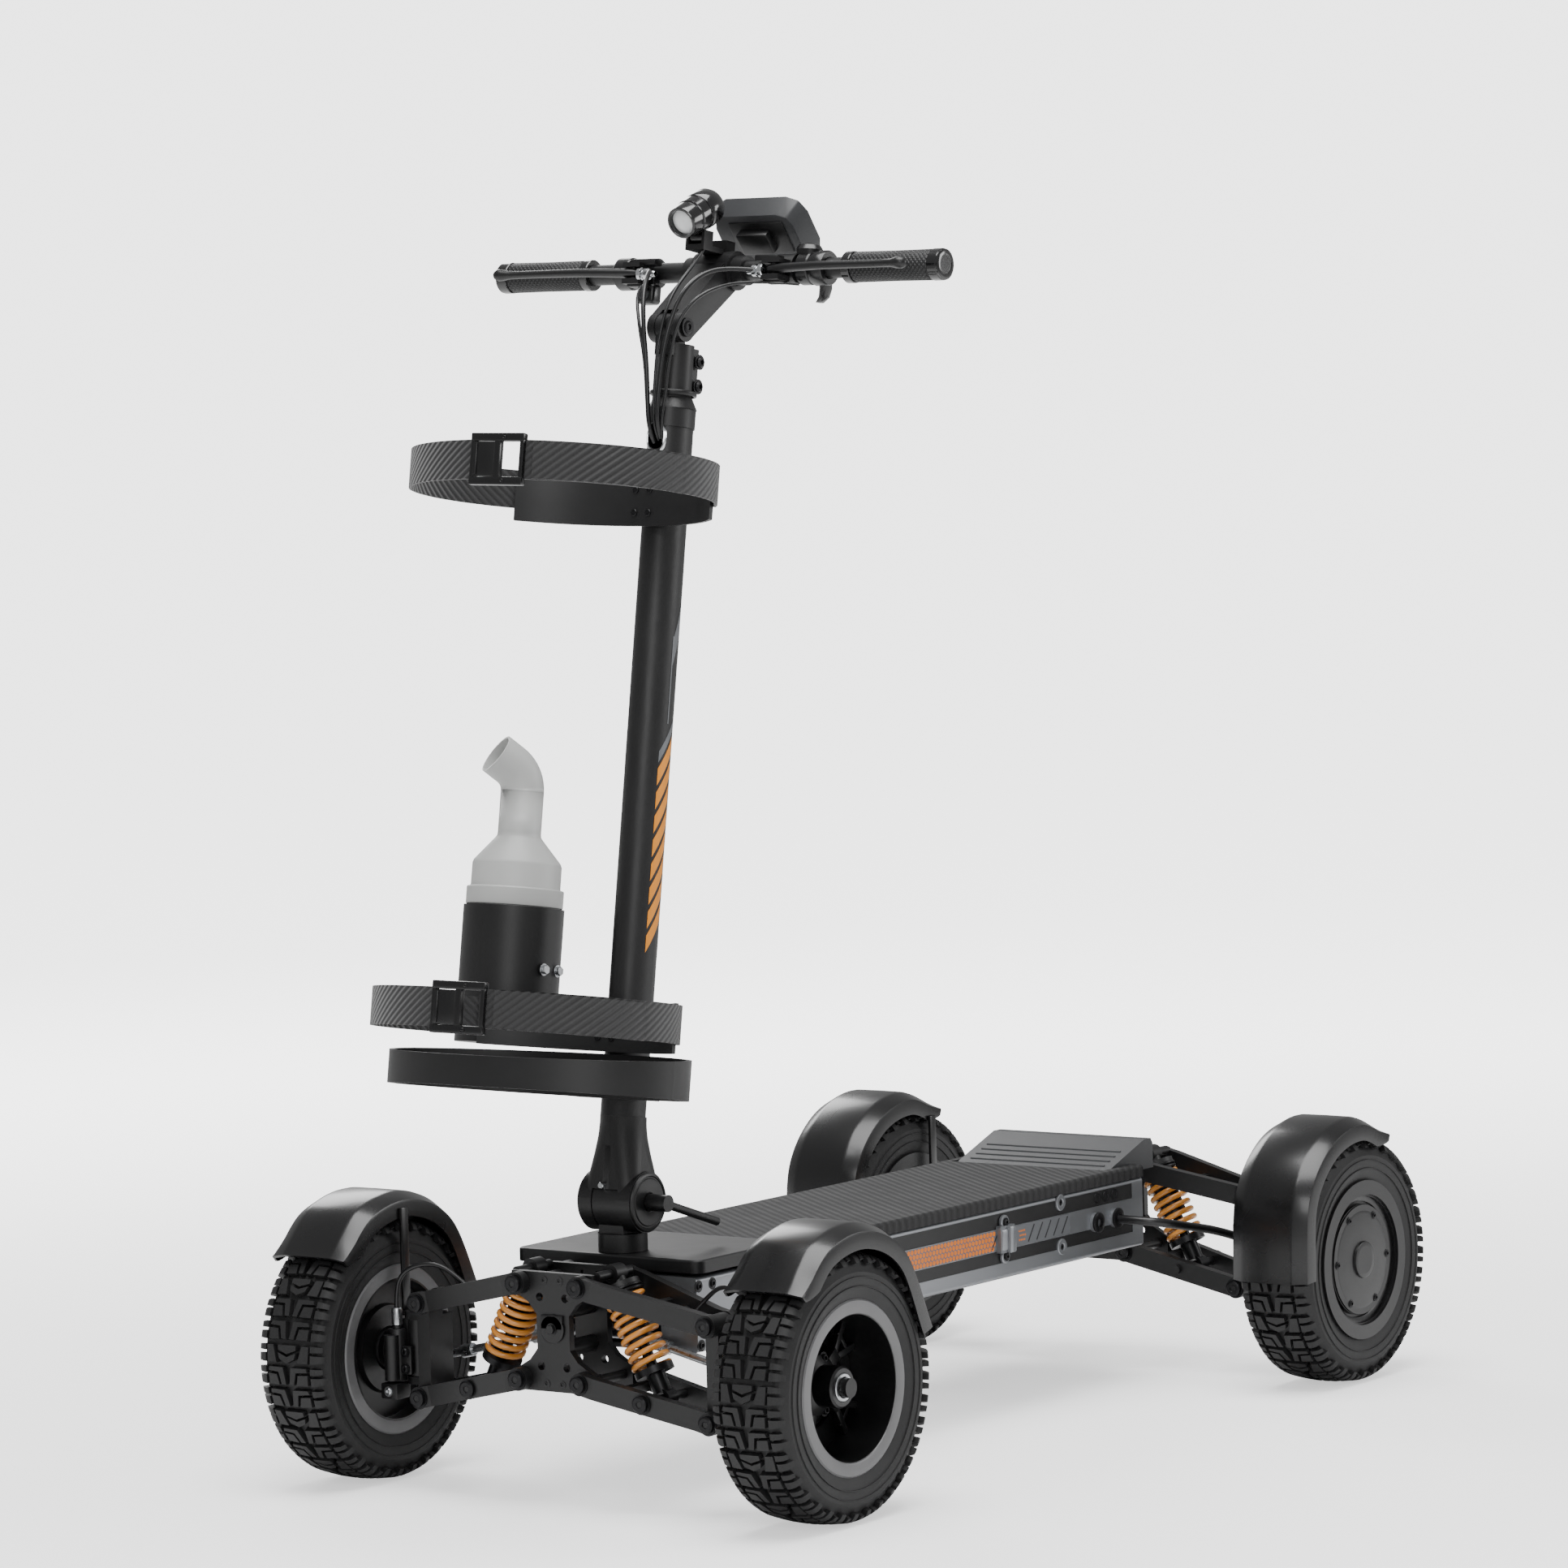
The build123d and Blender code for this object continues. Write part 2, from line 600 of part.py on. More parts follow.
# ---------------------------------------------------------------- steering post and column
def steering_post():
    low = top_plate_bottom + top_plate_thickness + side_gap
    shoulder = fold_z - fold_radius - 1.0
    body = bar_z(post_x, 0, low, shoulder, post_radius)
    body += bar_y(post_x, -tongue_width / 2, tongue_width / 2, fold_z, fold_radius - 1)
    body += Pos(post_x, 0, (low + fold_z) / 2) * Box(40, tongue_width, fold_z - low)
    plate_low = rack_z - rack_radius - 0.5
    arm_top = plate_low - side_gap
    body += bar_z(post_x, 0, arm_top - 5, low + 1, spindle_radius)
    tip = post_x - pitman_length
    body += block(tip, post_x, -8, 8, arm_top - 5, arm_top) + bar_z(tip, 0, arm_top - 5, arm_top, 8)
    body += bar_z(tip, 0, arm_top - 1, plate_low + 4.5, 4)
    return body - bar_y(post_x, -40, 40, fold_z, fold_pin_radius + running_gap)


def column_tube():
    """Fold yoke and tube in one, then the collar and the stem clamp as separate solids."""
    half = fold_width / 2
    cheek_in = tongue_width / 2 + side_gap
    body = bar_y(0, -half, half, 0, fold_radius)
    sections = [
        Pos(0, 0, 6) * RectangleRounded(62, fold_width - 2, 14),
        Pos(2, 0, 34) * RectangleRounded(57, 60, 20),
        Pos(5, 0, 62) * RectangleRounded(52, 52, 24),
        Pos(tube_offset - 1, 0, neck_end) * RectangleRounded(49, 49, 24.4),
    ]
    body += loft(sections)
    body -= bar_y(0, -cheek_in, cheek_in, 0, fold_radius + 0.6)
    body -= block(-fold_radius - 2, fold_radius + 2, -cheek_in, cheek_in, -fold_radius - 2, 0)
    body += bar_y(0, -half, half, 0, fold_pin_radius)
    tube_face = Ellipse(tube_depth / 2, tube_breadth / 2)
    tube_face -= Ellipse(tube_depth / 2 - tube_wall, tube_breadth / 2 - tube_wall)
    body += Pos(tube_offset, 0, neck_end - 1) * extrude(tube_face, collar_start - neck_end + 1)
    body -= bar_x(tube_offset + 5, tube_offset + 40, 0, port_w, 12)
    base_face = Ellipse(tube_depth / 2 + 1, tube_breadth / 2 + 1.5)
    base = Pos(tube_offset, 0, collar_start + seat_gap) * extrude(base_face, 20)
    cone_height = collar_end - collar_start - 20
    cone = Pos(tube_offset, 0, collar_end - cone_height / 2) * Cone(26, 20, cone_height)
    clamp = bar_z(tube_offset, 0, collar_end + seat_gap, column_length - 17, clamp_radius)
    ear_u = tube_offset - clamp_radius - 9
    clamp += block(ear_u, tube_offset - 8, -9, 9, collar_end + 4, column_length - 18)
    for w in (collar_end + 14, collar_end + 40):
        clamp += bar_y(tube_offset - clamp_radius - 4, -14, 14, w, 3.5)
        clamp += bar_y(tube_offset - clamp_radius - 4, 9, 14, w, 5.5)
    clamp += block(stem_pivot_u - 14, stem_pivot_u + 12, -10, 10, column_length - 30, column_length)
    clamp += bar_y(stem_pivot_u, -10, 10, column_length, 15)
    clamp += bar_y(stem_pivot_u, -22, 22, column_length, 5)
    return [column_frame * body, column_frame * (base + cone), column_frame * clamp]


def fold_lever():
    """Clamp lever on the left end of the fold axis."""
    start = fold_width / 2 + side_gap
    end = start + lever_boss_length
    body = bar_y(0, start, end, 0, 9)
    return Pos(post_x, 0, fold_z) * (body + rod((0, end - 7, 0), (-88, end - 3, -30), 4.5))


def handlebar_stem():
    """Arm from the tilt bolt up and back to the bar clamp."""
    cheek_in = 10 + side_gap
    bore = clamp_bar_radius + seat_gap
    body = bar_y(bar_u, -24, 24, bar_w, clamp_bar_radius + 5)
    slope = atan2(bar_w - column_length, bar_u - stem_pivot_u)
    normal = (-sin(slope), cos(slope))
    corners = []
    for u, w, reach in ((stem_pivot_u, column_length, 15), (bar_u, bar_w, 18)):
        corners.append((u + normal[0] * reach, w + normal[1] * reach))
        corners.append((u - normal[0] * reach, w - normal[1] * reach))
    order = [corners[0], corners[1], corners[3], corners[2]]
    web = make_face(Polyline(*[(u, 0, w) for u, w in order], close=True))
    body += Pos(0, -20, 0) * extrude(web, 40, dir=(0, 1, 0))
    body += bar_y(stem_pivot_u, -20, 20, column_length, 15.5)
    body -= bar_y(stem_pivot_u, -cheek_in, cheek_in, column_length, 19)
    tail = (stem_pivot_u - 30, stem_pivot_u + 30, -cheek_in, cheek_in, column_length - 40, column_length)
    body -= block(*tail)
    body -= bar_y(stem_pivot_u, -30, 30, column_length, 5 + running_gap)
    body -= bar_y(bar_u, -30, 30, bar_w, bore)
    body += block(bar_u - 8, bar_u + 8, -12, 12, bar_w + clamp_bar_radius + 3, bar_w + clamp_bar_radius + 16)
    return column_frame * body


def handlebar():
    """Bar with a thick middle and one perch for each lever."""
    half = bar_width / 2 - 2
    body = bar_y(bar_u, -half, half, bar_w, bar_radius)
    body += bar_y(bar_u, -38, 38, bar_w, clamp_bar_radius)
    solids = [column_frame * body]
    for side in (-1, 1):
        clamp = bar_y(bar_u, side * (lever_y - 12), side * (lever_y + 12), bar_w, bar_radius + 5)
        clamp -= bar_y(bar_u, side * (lever_y - 20), side * (lever_y + 20), bar_w, bar_radius + seat_gap)
        reach = (bar_u + bar_radius + 3, bar_u + lever_reach)
        inner = side * (lever_y - 12)
        for low, high in ((bar_w - 16, bar_w - 10), (bar_w + 2, bar_w + 7)):
            clamp += block(*reach, inner, side * (lever_y + 10), low, high)
        back = (bar_u + bar_radius + 1, bar_u + bar_radius + 9)
        clamp += block(*back, inner, side * (lever_y + 4), bar_w - 16, bar_w + 7)
        clamp += bar_z(bar_u + lever_reach - 7, side * lever_y, bar_w - 16, bar_w + 7, 3)
        solids.append(column_frame * clamp)
    return solids


def grips():
    solids = []
    for side in (-1, 1):
        outer = bar_width / 2
        grip = bar_y(bar_u, side * (outer - grip_length), side * outer, bar_w, grip_radius)
        bore = (side * (outer - grip_length - 5), side * (outer - 2))
        grip -= bar_y(bar_u, *bore, bar_w, bar_radius + seat_gap)
        solids.append(column_frame * grip)
    return solids


def brake_lever(side):
    pivot_u = bar_u + lever_reach - 7
    middle = bar_w - 4
    body = bar_z(pivot_u, side * lever_y, middle - 5, middle + 5, 7)
    elbow = (pivot_u + lever_bend, side * (lever_y + 60), middle - 2)
    tip = (pivot_u + lever_bend + 2, side * (lever_y + lever_length), middle - 3)
    body += rod((pivot_u, side * lever_y, middle), elbow, lever_radius)
    body += rod(elbow, tip, lever_radius)
    body += Pos(*elbow) * Sphere(lever_radius)
    body += Pos(*tip) * Sphere(lever_radius + 1.5)
    return column_frame * (body - bar_z(pivot_u, side * lever_y, middle - 20, middle + 20, 3 + running_gap))


def throttle():
    """Thumb paddle and the collar that it turns on."""
    place_y = lever_y + 42
    body = bar_y(bar_u, place_y - 9, place_y + 9, bar_w, bar_radius + 7)
    body -= bar_y(bar_u, place_y - 12, place_y + 12, bar_w, bar_radius + side_gap)
    paddle = rod((bar_u - 12, place_y, bar_w - 12), (bar_u - 22, place_y - 22, bar_w - 30), 5)
    return column_frame * (body + paddle)


def display_case():
    """Dash housing over the bar clamp, its face turned up and back to the rider."""
    panel = Rot(0, -30, 0) * extrude(RectangleRounded(76, 118, 24), 24, taper=12)
    foot = block(-14, 14, -20, 20, -8, 4)
    return column_frame * Pos(bar_u - 28, 30, bar_w + clamp_bar_radius + 20) * (panel + foot)


def headlight():
    """Tapered barrel on a bracket; the barrel points ahead."""
    start = light_pivot()
    barrel = Pos(0, 0, 4) * Cone(20, 17, 62) + Pos(0, 0, 36) * Cylinder(17, 4)
    barrel = Rot(0, 90 + column_lean, 0) * barrel
    foot = bar_y(0, -8, 8, -27, 7) + block(-4, 4, -6, 6, -27, -12)
    foot -= bar_y(0, -9, 9, -27, 2.5 + running_gap)
    return column_frame * Pos(start[0], 0, start[1] + 27) * (barrel + foot)


def light_pivot():
    return bar_u + 40, bar_w + clamp_bar_radius + 14


def light_bracket():
    u, w = light_pivot()
    bracket = block(u - 8, u + 8, -12, -8.5, w - 9, w + 7) + block(u - 8, u + 8, 8.5, 12, w - 9, w + 7)
    bracket += block(bar_u + 12, u + 8, -12, 12, w - 14, w - 8)
    return column_frame * (bracket + bar_y(u, -12, 12, w, 2.5))


# ---------------------------------------------------------------- carrier
def ring(centre_u, depth, breadth, thickness, low, high):
    outer = Ellipse(depth / 2, breadth / 2)
    inner = Ellipse(depth / 2 - thickness, breadth / 2 - thickness)
    return Pos(centre_u, 0, low) * extrude(outer - inner, high - low)


def tube_outline():
    return Ellipse(tube_depth / 2 + seat_gap, tube_breadth / 2 + seat_gap)


def cradle(low):
    """Curved plate that holds the bag; bolted to the tube through a pad."""
    inner = strap_thickness + seat_gap
    depth = loop_depth - 2 * inner
    breadth = loop_breadth - 2 * inner
    plate = ring(loop_centre_u, depth, breadth, cradle_thickness, low, low + cradle_height)
    band = (low - 1, low + cradle_height + 1)
    plate -= block(loop_centre_u - 62, loop_front_u + 5, -loop_breadth, loop_breadth, *band)
    for side in (-1, 1):
        plate -= block(-10, loop_front_u, side * cradle_half_y, side * loop_breadth, *band)
    rear = loop_centre_u - depth / 2
    pad = block(tube_offset + tube_depth / 2 - 4, rear + 1.5, -14, 14, low + 6, low + cradle_height - 6)
    tube_skin = Pos(tube_offset, 0, low) * extrude(tube_outline(), cradle_height)
    return plate + (pad - tube_skin)


def bag_carrier():
    top = tray_bottom_w + tray_height
    tray = ring(tray_centre_u, tray_depth, tray_breadth, tray_wall, tray_bottom_w, top)
    slope_cut = Pos(tray_centre_u - tray_depth / 2, 0, top) * Rot(0, tray_slope, 0)
    tray -= slope_cut * block(-20, 400, -250, 250, 0, 60)
    rear = tray_centre_u - tray_depth / 2
    floor_face = Ellipse(tray_depth / 2 - 2, tray_breadth / 2 - 2)
    floor = Pos(tray_centre_u, 0, tray_bottom_w + 22) * extrude(floor_face, 3)
    tray += floor - block(rear + 60, rear + tray_depth + 5, -250, 250, tray_bottom_w, tray_bottom_w + 40)
    bracket = block(tube_offset + 6, rear + 2.5, -50, 50, tray_bottom_w, tray_bottom_w + 34)
    bracket -= Pos(tube_offset, 0, 80) * extrude(tube_outline(), 100)
    tray += bracket
    solids = [column_frame * tray]
    for low in (lower_cradle_w, upper_cradle_w):
        solids.append(column_frame * cradle(low))
    return solids


def bottle_holder():
    cup = bar_z(holder_u, holder_y, holder_w, holder_w + holder_height, holder_radius)
    cup -= bar_z(holder_u, holder_y, holder_w + 4, holder_w + holder_height + 1, holder_radius - holder_wall)
    outer = extrude(Ellipse(loop_depth / 2 + 0.5, loop_breadth / 2 + 0.5), 400)
    return column_frame * (cup - Pos(loop_centre_u, 0, holder_w - 10) * outer)


def bottle():
    """Sand bottle: body in the holder, shoulder, neck and a bent spout."""
    inner = holder_radius - holder_wall - 1
    foot = holder_w + 4 + side_gap
    rim_w = holder_w + holder_height
    pipe_top = rim_w + bottle_pipe_top
    lathe = [(0, foot), (inner - 1, foot), (inner - 1, rim_w + 1), (inner + 2, rim_w + 1),
             (inner + 2, rim_w + 20), (inner - 2, rim_w + 20), (inner - 2, rim_w + 47),
             (bottle_neck_radius, rim_w + 75), (bottle_neck_radius, pipe_top), (0, pipe_top)]
    body = revolve(make_face(Polyline(*[(r, 0, w) for r, w in lathe], close=True)), Axis.Z)
    bend = (0, 0, pipe_top + 26)
    spout = rod((0, 0, pipe_top - 1), bend, bottle_neck_radius) + Pos(*bend) * Sphere(bottle_neck_radius)
    spout += rod(bend, (34, 0, pipe_top + 50), bottle_neck_radius)
    mouth = rod((10, 0, pipe_top + 33), (44, 0, pipe_top + 57), bottle_neck_radius - 3)
    return column_frame * Pos(holder_u, holder_y, 0) * Rot(0, 0, -55) * (body + spout - mouth)


def strap_end_u():
    """Where the webbing meets the slotted ends of the cradle."""
    share = cradle_half_y / (loop_breadth / 2)
    return loop_centre_u - loop_depth / 2 * sqrt(1 - share ** 2) - 6


def straps():
    """Two webbing loops, each with its cam buckle let into the front of the loop."""
    depth, length, height = buckle_size
    solids = []
    for low in (lower_strap_w, upper_strap_w):
        loop = ring(loop_centre_u, loop_depth, loop_breadth, strap_thickness, low, low + strap_width)
        gap_half = cradle_half_y + 3
        loop -= block(-10, strap_end_u(), -gap_half, gap_half, low - 1, low + strap_width + 1)
        seat = Pos(buckle_u, buckle_y, low + strap_width / 2) * Rot(0, 0, degrees(buckle_heading))
        loop -= seat * Box(4 * depth, length, height)
        solids += [column_frame * half_loop for half_loop in loop.solids()]
        buckle = Box(depth, length, height) - Pos(0, length / 4 - 2, 0) * Box(2 * depth, 23, 35)
        buckle -= Pos(depth / 2, -length / 4, 0) * Box(4, 22, 35)
        buckle += Pos(depth / 2 - 2.5, -length / 4, 0) * Rot(90, 0, 0) * Cylinder(1.9, 22)
        solids.append(column_frame * seat * buckle)
    return solids


def tube_along(points, radius):
    """Round cable through points, its corners as arcs as large as the runs allow."""
    radii = []
    for before, here, after in zip(points, points[1:], points[2:]):
        first = Vector(*here) - Vector(*before)
        second = Vector(*after) - Vector(*here)
        turn = radians(first.get_angle(second))
        radii.append(round(0.45 * min(first.length, second.length) / (sin(turn / 2) / cos(turn / 2)), 3))
    print("cable radii", [round(value) for value in radii])
    path = FilletPolyline(*points, radius=radii)
    return sweep(Plane(origin=points[0], z_dir=path % 0) * Circle(radius), path)


def control_cables():
    """Brake and throttle cables from the levers to the port, along the front of the column."""
    front = tube_offset + tube_depth / 2
    lead = bar_u + lever_reach
    solids = []
    for side, drop in ((1, 0), (-1, 5)):
        route = [(lead - 4, side * 78, bar_w - 6), (lead + 12, side * 56, bar_w - 5),
                 (lead + 40, side * 37, bar_w - 12), (front + 6, side * 25, bar_w - 38),
                 (front + 13, side * 16, bar_w - 76), (front + 12, side * 10, bar_w - 110),
                 (front + 10, side * 7, bar_w - 145), (front + 7, side * 5, port_w + 15 - drop),
                 (front - 4, side * 4, port_w - drop)]
        solids.append(column_frame * tube_along(route, 2.5))
    return solids


def motor_leads():
    """Leads from the housing's grommets to the rear uprights."""
    solids = []
    for side in (-1, 1):
        start_y = deck_width / 2 + 4 + side_gap
        points = [(-338, side * start_y, 194), (-338, side * (start_y + 28), 194),
                  (-356, side * (start_y + 50), 190),
                  (-392, side * (start_y + 60), 182), (-440, side * (start_y + 62), 172)]
        solids.append(tube_along(points, 5))
    return solids


def save(name, shape):
    solids = shape if isinstance(shape, list) else [shape]
    moved = [Pos(-middle_x, 0, 0) * solid for solid in solids]
    whole = moved[0] if len(moved) == 1 else Compound(children=moved)
    whole.label = name
    export_step(whole, os.path.join("parts", name + ".step"))


def main():
    os.makedirs("parts", exist_ok=True)
    corners = {"front_left": (1, True), "front_right": (-1, True),
               "rear_left": (1, False), "rear_right": (-1, False)}
    springs = []
    for name, (side, front) in corners.items():
        track = front_track if front else rear_track
        wheel_place = Pos(0, track / 2, axle_z)
        save("tyre_" + name, corner(wheel_place * tyre(), side, front))
        if front:
            save("rim_" + name, corner(wheel_place * rim(), side, front))
            save("steering_knuckle_" + name, corner(steering_knuckle(), side, front))
            save("tie_rod_" + name, corner(tie_rod(), side, front))
        else:
            save("hub_motor_" + name, corner(wheel_place * hub_motor(), side, front))
        save("mudguard_" + name, mudguard(side, front))
        save("lower_arm_" + name, corner(wishbone(lower_inner_z, lower_block, True), side, front))
        save("upper_arm_" + name, corner(wishbone(upper_inner_z, upper_block, False), side, front))
        save("upright_" + name, corner(upright(front), side, front))
        save("damper_body_" + name, corner(damper_body(), side, front))
        save("damper_rod_" + name, corner(damper_rod(), side, front))
        springs += [corner(turn, side, front) for turn in coil_spring()]
    save("coil_springs", springs)
    save("steering_rack", steering_rack())
    save("deck_housing", deck_housing())
    save("deck_mat", deck_mat())
    save("kick_plate", kick_plate())
    save("top_plate", top_plate())
    save("bulkhead_plates", bulkheads().solids())
    save("battery_and_controller", battery_pack().solids())
    save("motor_leads", motor_leads())
    save("steering_post", steering_post())
    save("column_tube", column_tube())
    save("fold_lever", fold_lever())
    save("handlebar_stem", [handlebar_stem(), light_bracket()])
    save("handlebar", handlebar())
    save("grips", grips())
    save("brake_lever_left", brake_lever(1))
    save("brake_lever_right", brake_lever(-1))
    save("throttle", throttle())
    save("display_case", display_case())
    save("headlight", headlight())
    save("control_cables", control_cables())
    save("bag_carrier", bag_carrier() + [bottle_holder()])
    save("bottle", bottle())
    save("bag_straps", straps())


main()
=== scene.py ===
import json
import bpy
import bmesh
from math import atan2, cos, hypot, pi, radians, sin
from mathutils import Matrix, Vector


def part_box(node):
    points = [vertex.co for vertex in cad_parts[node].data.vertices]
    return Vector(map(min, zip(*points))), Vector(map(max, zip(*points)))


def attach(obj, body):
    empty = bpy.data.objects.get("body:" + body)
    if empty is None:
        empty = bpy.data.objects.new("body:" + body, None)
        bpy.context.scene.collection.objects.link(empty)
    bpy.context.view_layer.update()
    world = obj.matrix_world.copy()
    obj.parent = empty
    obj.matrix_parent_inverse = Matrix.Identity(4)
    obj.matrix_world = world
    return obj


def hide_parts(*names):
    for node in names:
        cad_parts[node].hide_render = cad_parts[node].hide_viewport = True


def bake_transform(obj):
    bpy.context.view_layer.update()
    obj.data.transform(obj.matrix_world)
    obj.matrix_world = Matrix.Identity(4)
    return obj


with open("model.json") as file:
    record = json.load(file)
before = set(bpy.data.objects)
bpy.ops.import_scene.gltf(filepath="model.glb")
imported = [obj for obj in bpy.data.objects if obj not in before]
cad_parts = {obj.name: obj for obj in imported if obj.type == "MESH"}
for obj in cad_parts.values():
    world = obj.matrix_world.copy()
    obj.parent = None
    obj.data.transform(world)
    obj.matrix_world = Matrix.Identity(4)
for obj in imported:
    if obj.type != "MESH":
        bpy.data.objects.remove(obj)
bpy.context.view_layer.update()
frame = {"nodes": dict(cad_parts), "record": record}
cadNodes = frame["nodes"]
behaviour = frame["record"]["behaviour"]
jointAt = {joint["name"]: Vector(joint["pos_m"]) for joint in behaviour["joints"] if "pos_m" in joint}
jointAxis = {joint["name"]: Vector(joint["axis"]) for joint in behaviour["joints"]}
cornerNames = ("front_left", "front_right", "rear_left", "rear_right")
frontAxleX = jointAt["wheel_spin_front_left"].x
wheelMiddle = (frontAxleX + jointAt["wheel_spin_rear_left"].x) * 500

# the column leans back: its own X is ahead of it, its own Z runs up it, from the fold bolt
columnUp = jointAxis["bottle_lift"].normalized()
columnAhead = Vector((columnUp.z, 0, -columnUp.x))
foldPoint = Vector((jointAt["column_fold"].x, 0, jointAt["column_fold"].z))
columnFrame = Matrix.Translation(foldPoint) @ Matrix((columnAhead, (0, 1, 0), columnUp)).transposed().to_4x4()


# ---- camera, floor and light
cameraSettings = {"azimuth": 35.51, "elevation": 4.08, "roll": -1.60, "distance": 7.14569,
                  "target": (frontAxleX - 0.37476, 0, 0.71817), "lens": 152.07}


def setCamera():
    turn, lift = radians(cameraSettings["azimuth"]), radians(cameraSettings["elevation"])
    back = Vector((cos(turn) * cos(lift), sin(turn) * cos(lift), sin(lift)))
    side = (-back).cross(Vector((0, 0, 1))).normalized()
    up = side.cross(-back)
    roll = radians(cameraSettings["roll"])
    right = side * cos(roll) + up * sin(roll)
    top = up * cos(roll) - side * sin(roll)
    camera = bpy.data.objects.new("camera", bpy.data.cameras.new("camera"))
    bpy.context.collection.objects.link(camera)
    camera.matrix_world = Matrix((right, top, back)).transposed().to_4x4()
    camera.location = Vector(cameraSettings["target"]) + back * cameraSettings["distance"]
    camera.data.lens = cameraSettings["lens"]
    camera.data.sensor_width = 36
    camera.data.clip_end = 200
    bpy.context.scene.camera = camera


def toLinear(hexText):
    parts = [int(hexText[place:place + 2], 16) / 255 for place in (1, 3, 5)]
    return tuple(v / 12.92 if v <= 0.04045 else ((v + 0.055) / 1.055) ** 2.4 for v in parts) + (1.0,)


def addNode(tree, kind, sockets=None, **settings):
    node = tree.nodes.new(kind)
    for key, value in settings.items():
        setattr(node, key, value)
    for socket, value in (sockets or {}).items():
        if isinstance(value, bpy.types.NodeSocket):
            tree.links.new(value, node.inputs[socket])
        else:
            node.inputs[socket].default_value = value
    return node


# nearGlow and the backdrop set the floor's painted glow, weak beside the board and strong far from it
floorSettings = {"size": 60, "colour": "#ffffff", "sky": "#ffffff", "skyStrength": 0.4, "backdrop": 3.4,
                 "floorGlowRamp": (0.6, 4.0), "nearGlow": 0.8}
lampSettings = {
    "above": {"at": (0.6, 0.4, 4.2), "to": (0, 0, 0.4), "size": 3.0, "power": 230},
    "frontLeft": {"at": (4.5, 2.8, 2.6), "to": (0, 0, 0.6), "size": 2.2, "power": 75},
    "rearRight": {"at": (-2.6, -3.6, 2.8), "to": (0, 0, 0.6), "size": 2.0, "power": 90},
    "rearLeft": {"at": (-3.0, 3.6, 1.8), "to": (0, 0, 0.5), "size": 1.6, "power": 55}}


def setStage():
    bm = bmesh.new()
    bmesh.ops.create_grid(bm, x_segments=1, y_segments=1, size=floorSettings["size"] / 2)
    mesh = bpy.data.meshes.new("studioFloor")
    bm.to_mesh(mesh)
    bm.free()
    floor = bpy.data.objects.new("studioFloor", mesh)
    bpy.context.collection.objects.link(floor)
    # painted studio floor: matt, very pale
    paint = bpy.data.materials.new("floorWithPaintedGlow")
    paint.use_nodes = True
    shader = paint.node_tree.nodes["Principled BSDF"]
    shader.inputs["Base Color"].default_value = toLinear(floorSettings["colour"])
    shader.inputs["Roughness"].default_value = 0.9
    shader.inputs["Specular IOR Level"].default_value = 0.1
    # away from the board the floor has a painted glow, seen by the camera only: weak beside the board, where the lamps'
    # shadows fall, and rising until it fades into the backdrop
    tree = paint.node_tree
    spot = addNode(tree, "ShaderNodeTexCoord").outputs["Object"]
    away = addNode(tree, "ShaderNodeVectorMath", {0: spot}, operation="LENGTH").outputs["Value"]
    near, far = floorSettings["floorGlowRamp"]
    floorGlowRamp = addNode(tree, "ShaderNodeMapRange", {0: away, 1: near, 2: far, 3: floorSettings["nearGlow"],
                                                  4: floorSettings["backdrop"] - floorSettings["skyStrength"]},
                   interpolation_type="SMOOTHSTEP").outputs[0]
    seen = addNode(tree, "ShaderNodeLightPath").outputs["Is Camera Ray"]
    glow = addNode(tree, "ShaderNodeMath", {0: floorGlowRamp, 1: seen}, operation="MULTIPLY").outputs[0]
    tree.links.new(glow, shader.inputs["Emission Strength"])
    shader.inputs["Emission Color"].default_value = toLinear(floorSettings["sky"])
    mesh.materials.append(paint)
    sky = bpy.data.worlds.new("studioSky")
    bpy.context.scene.world = sky
    sky.use_nodes = True
    glow = sky.node_tree.nodes["Background"]
    glow.inputs["Color"].default_value = toLinear(floorSettings["sky"])
    glow.inputs["Strength"].default_value = floorSettings["skyStrength"]
    # the backdrop itself is brighter than the light it gives
    seen = addNode(sky.node_tree, "ShaderNodeLightPath").outputs["Is Camera Ray"]
    power = addNode(sky.node_tree, "ShaderNodeMapRange",
                    {0: seen, 3: floorSettings["skyStrength"], 4: floorSettings["backdrop"]}).outputs[0]
    sky.node_tree.links.new(power, glow.inputs["Strength"])
    for name, lamp in lampSettings.items():
        light = bpy.data.lights.new(name, "AREA")
        light.size = lamp["size"]
        light.energy = lamp["power"]
        holder = bpy.data.objects.new(name, light)
        bpy.context.collection.objects.link(holder)
        holder.location = lamp["at"]
        heading = Vector(lamp["to"]) - Vector(lamp["at"])
        holder.rotation_euler = heading.to_track_quat("-Z", "Y").to_euler()


setCamera()
setStage()
print("stage set")


# ---- materials
def startMaterial(name, colour, roughness, metallic=0.0, ior=1.5, coat=0.0, coatRoughness=0.1):
    made = bpy.data.materials.new(name)
    made.use_nodes = True
    shader = made.node_tree.nodes["Principled BSDF"]
    shader.inputs["Base Color"].default_value = toLinear(colour)
    shader.inputs["Roughness"].default_value = roughness
    shader.inputs["Metallic"].default_value = metallic
    shader.inputs["IOR"].default_value = ior
    shader.inputs["Coat Weight"].default_value = coat
    shader.inputs["Coat Roughness"].default_value = coatRoughness
    return made, made.node_tree, shader


def blendColours(tree, share, dark, light):
    mix = addNode(tree, "ShaderNodeMix", data_type="RGBA")
    tree.links.new(share, mix.inputs[0])
    mix.inputs[6].default_value = toLinear(dark) if isinstance(dark, str) else (0, 0, 0, 1)
    mix.inputs[7].default_value = toLinear(light) if isinstance(light, str) else (0, 0, 0, 1)
    for slot, value in ((6, dark), (7, light)):
        if not isinstance(value, str):
            tree.links.new(value, mix.inputs[slot])
    return mix.outputs[2]


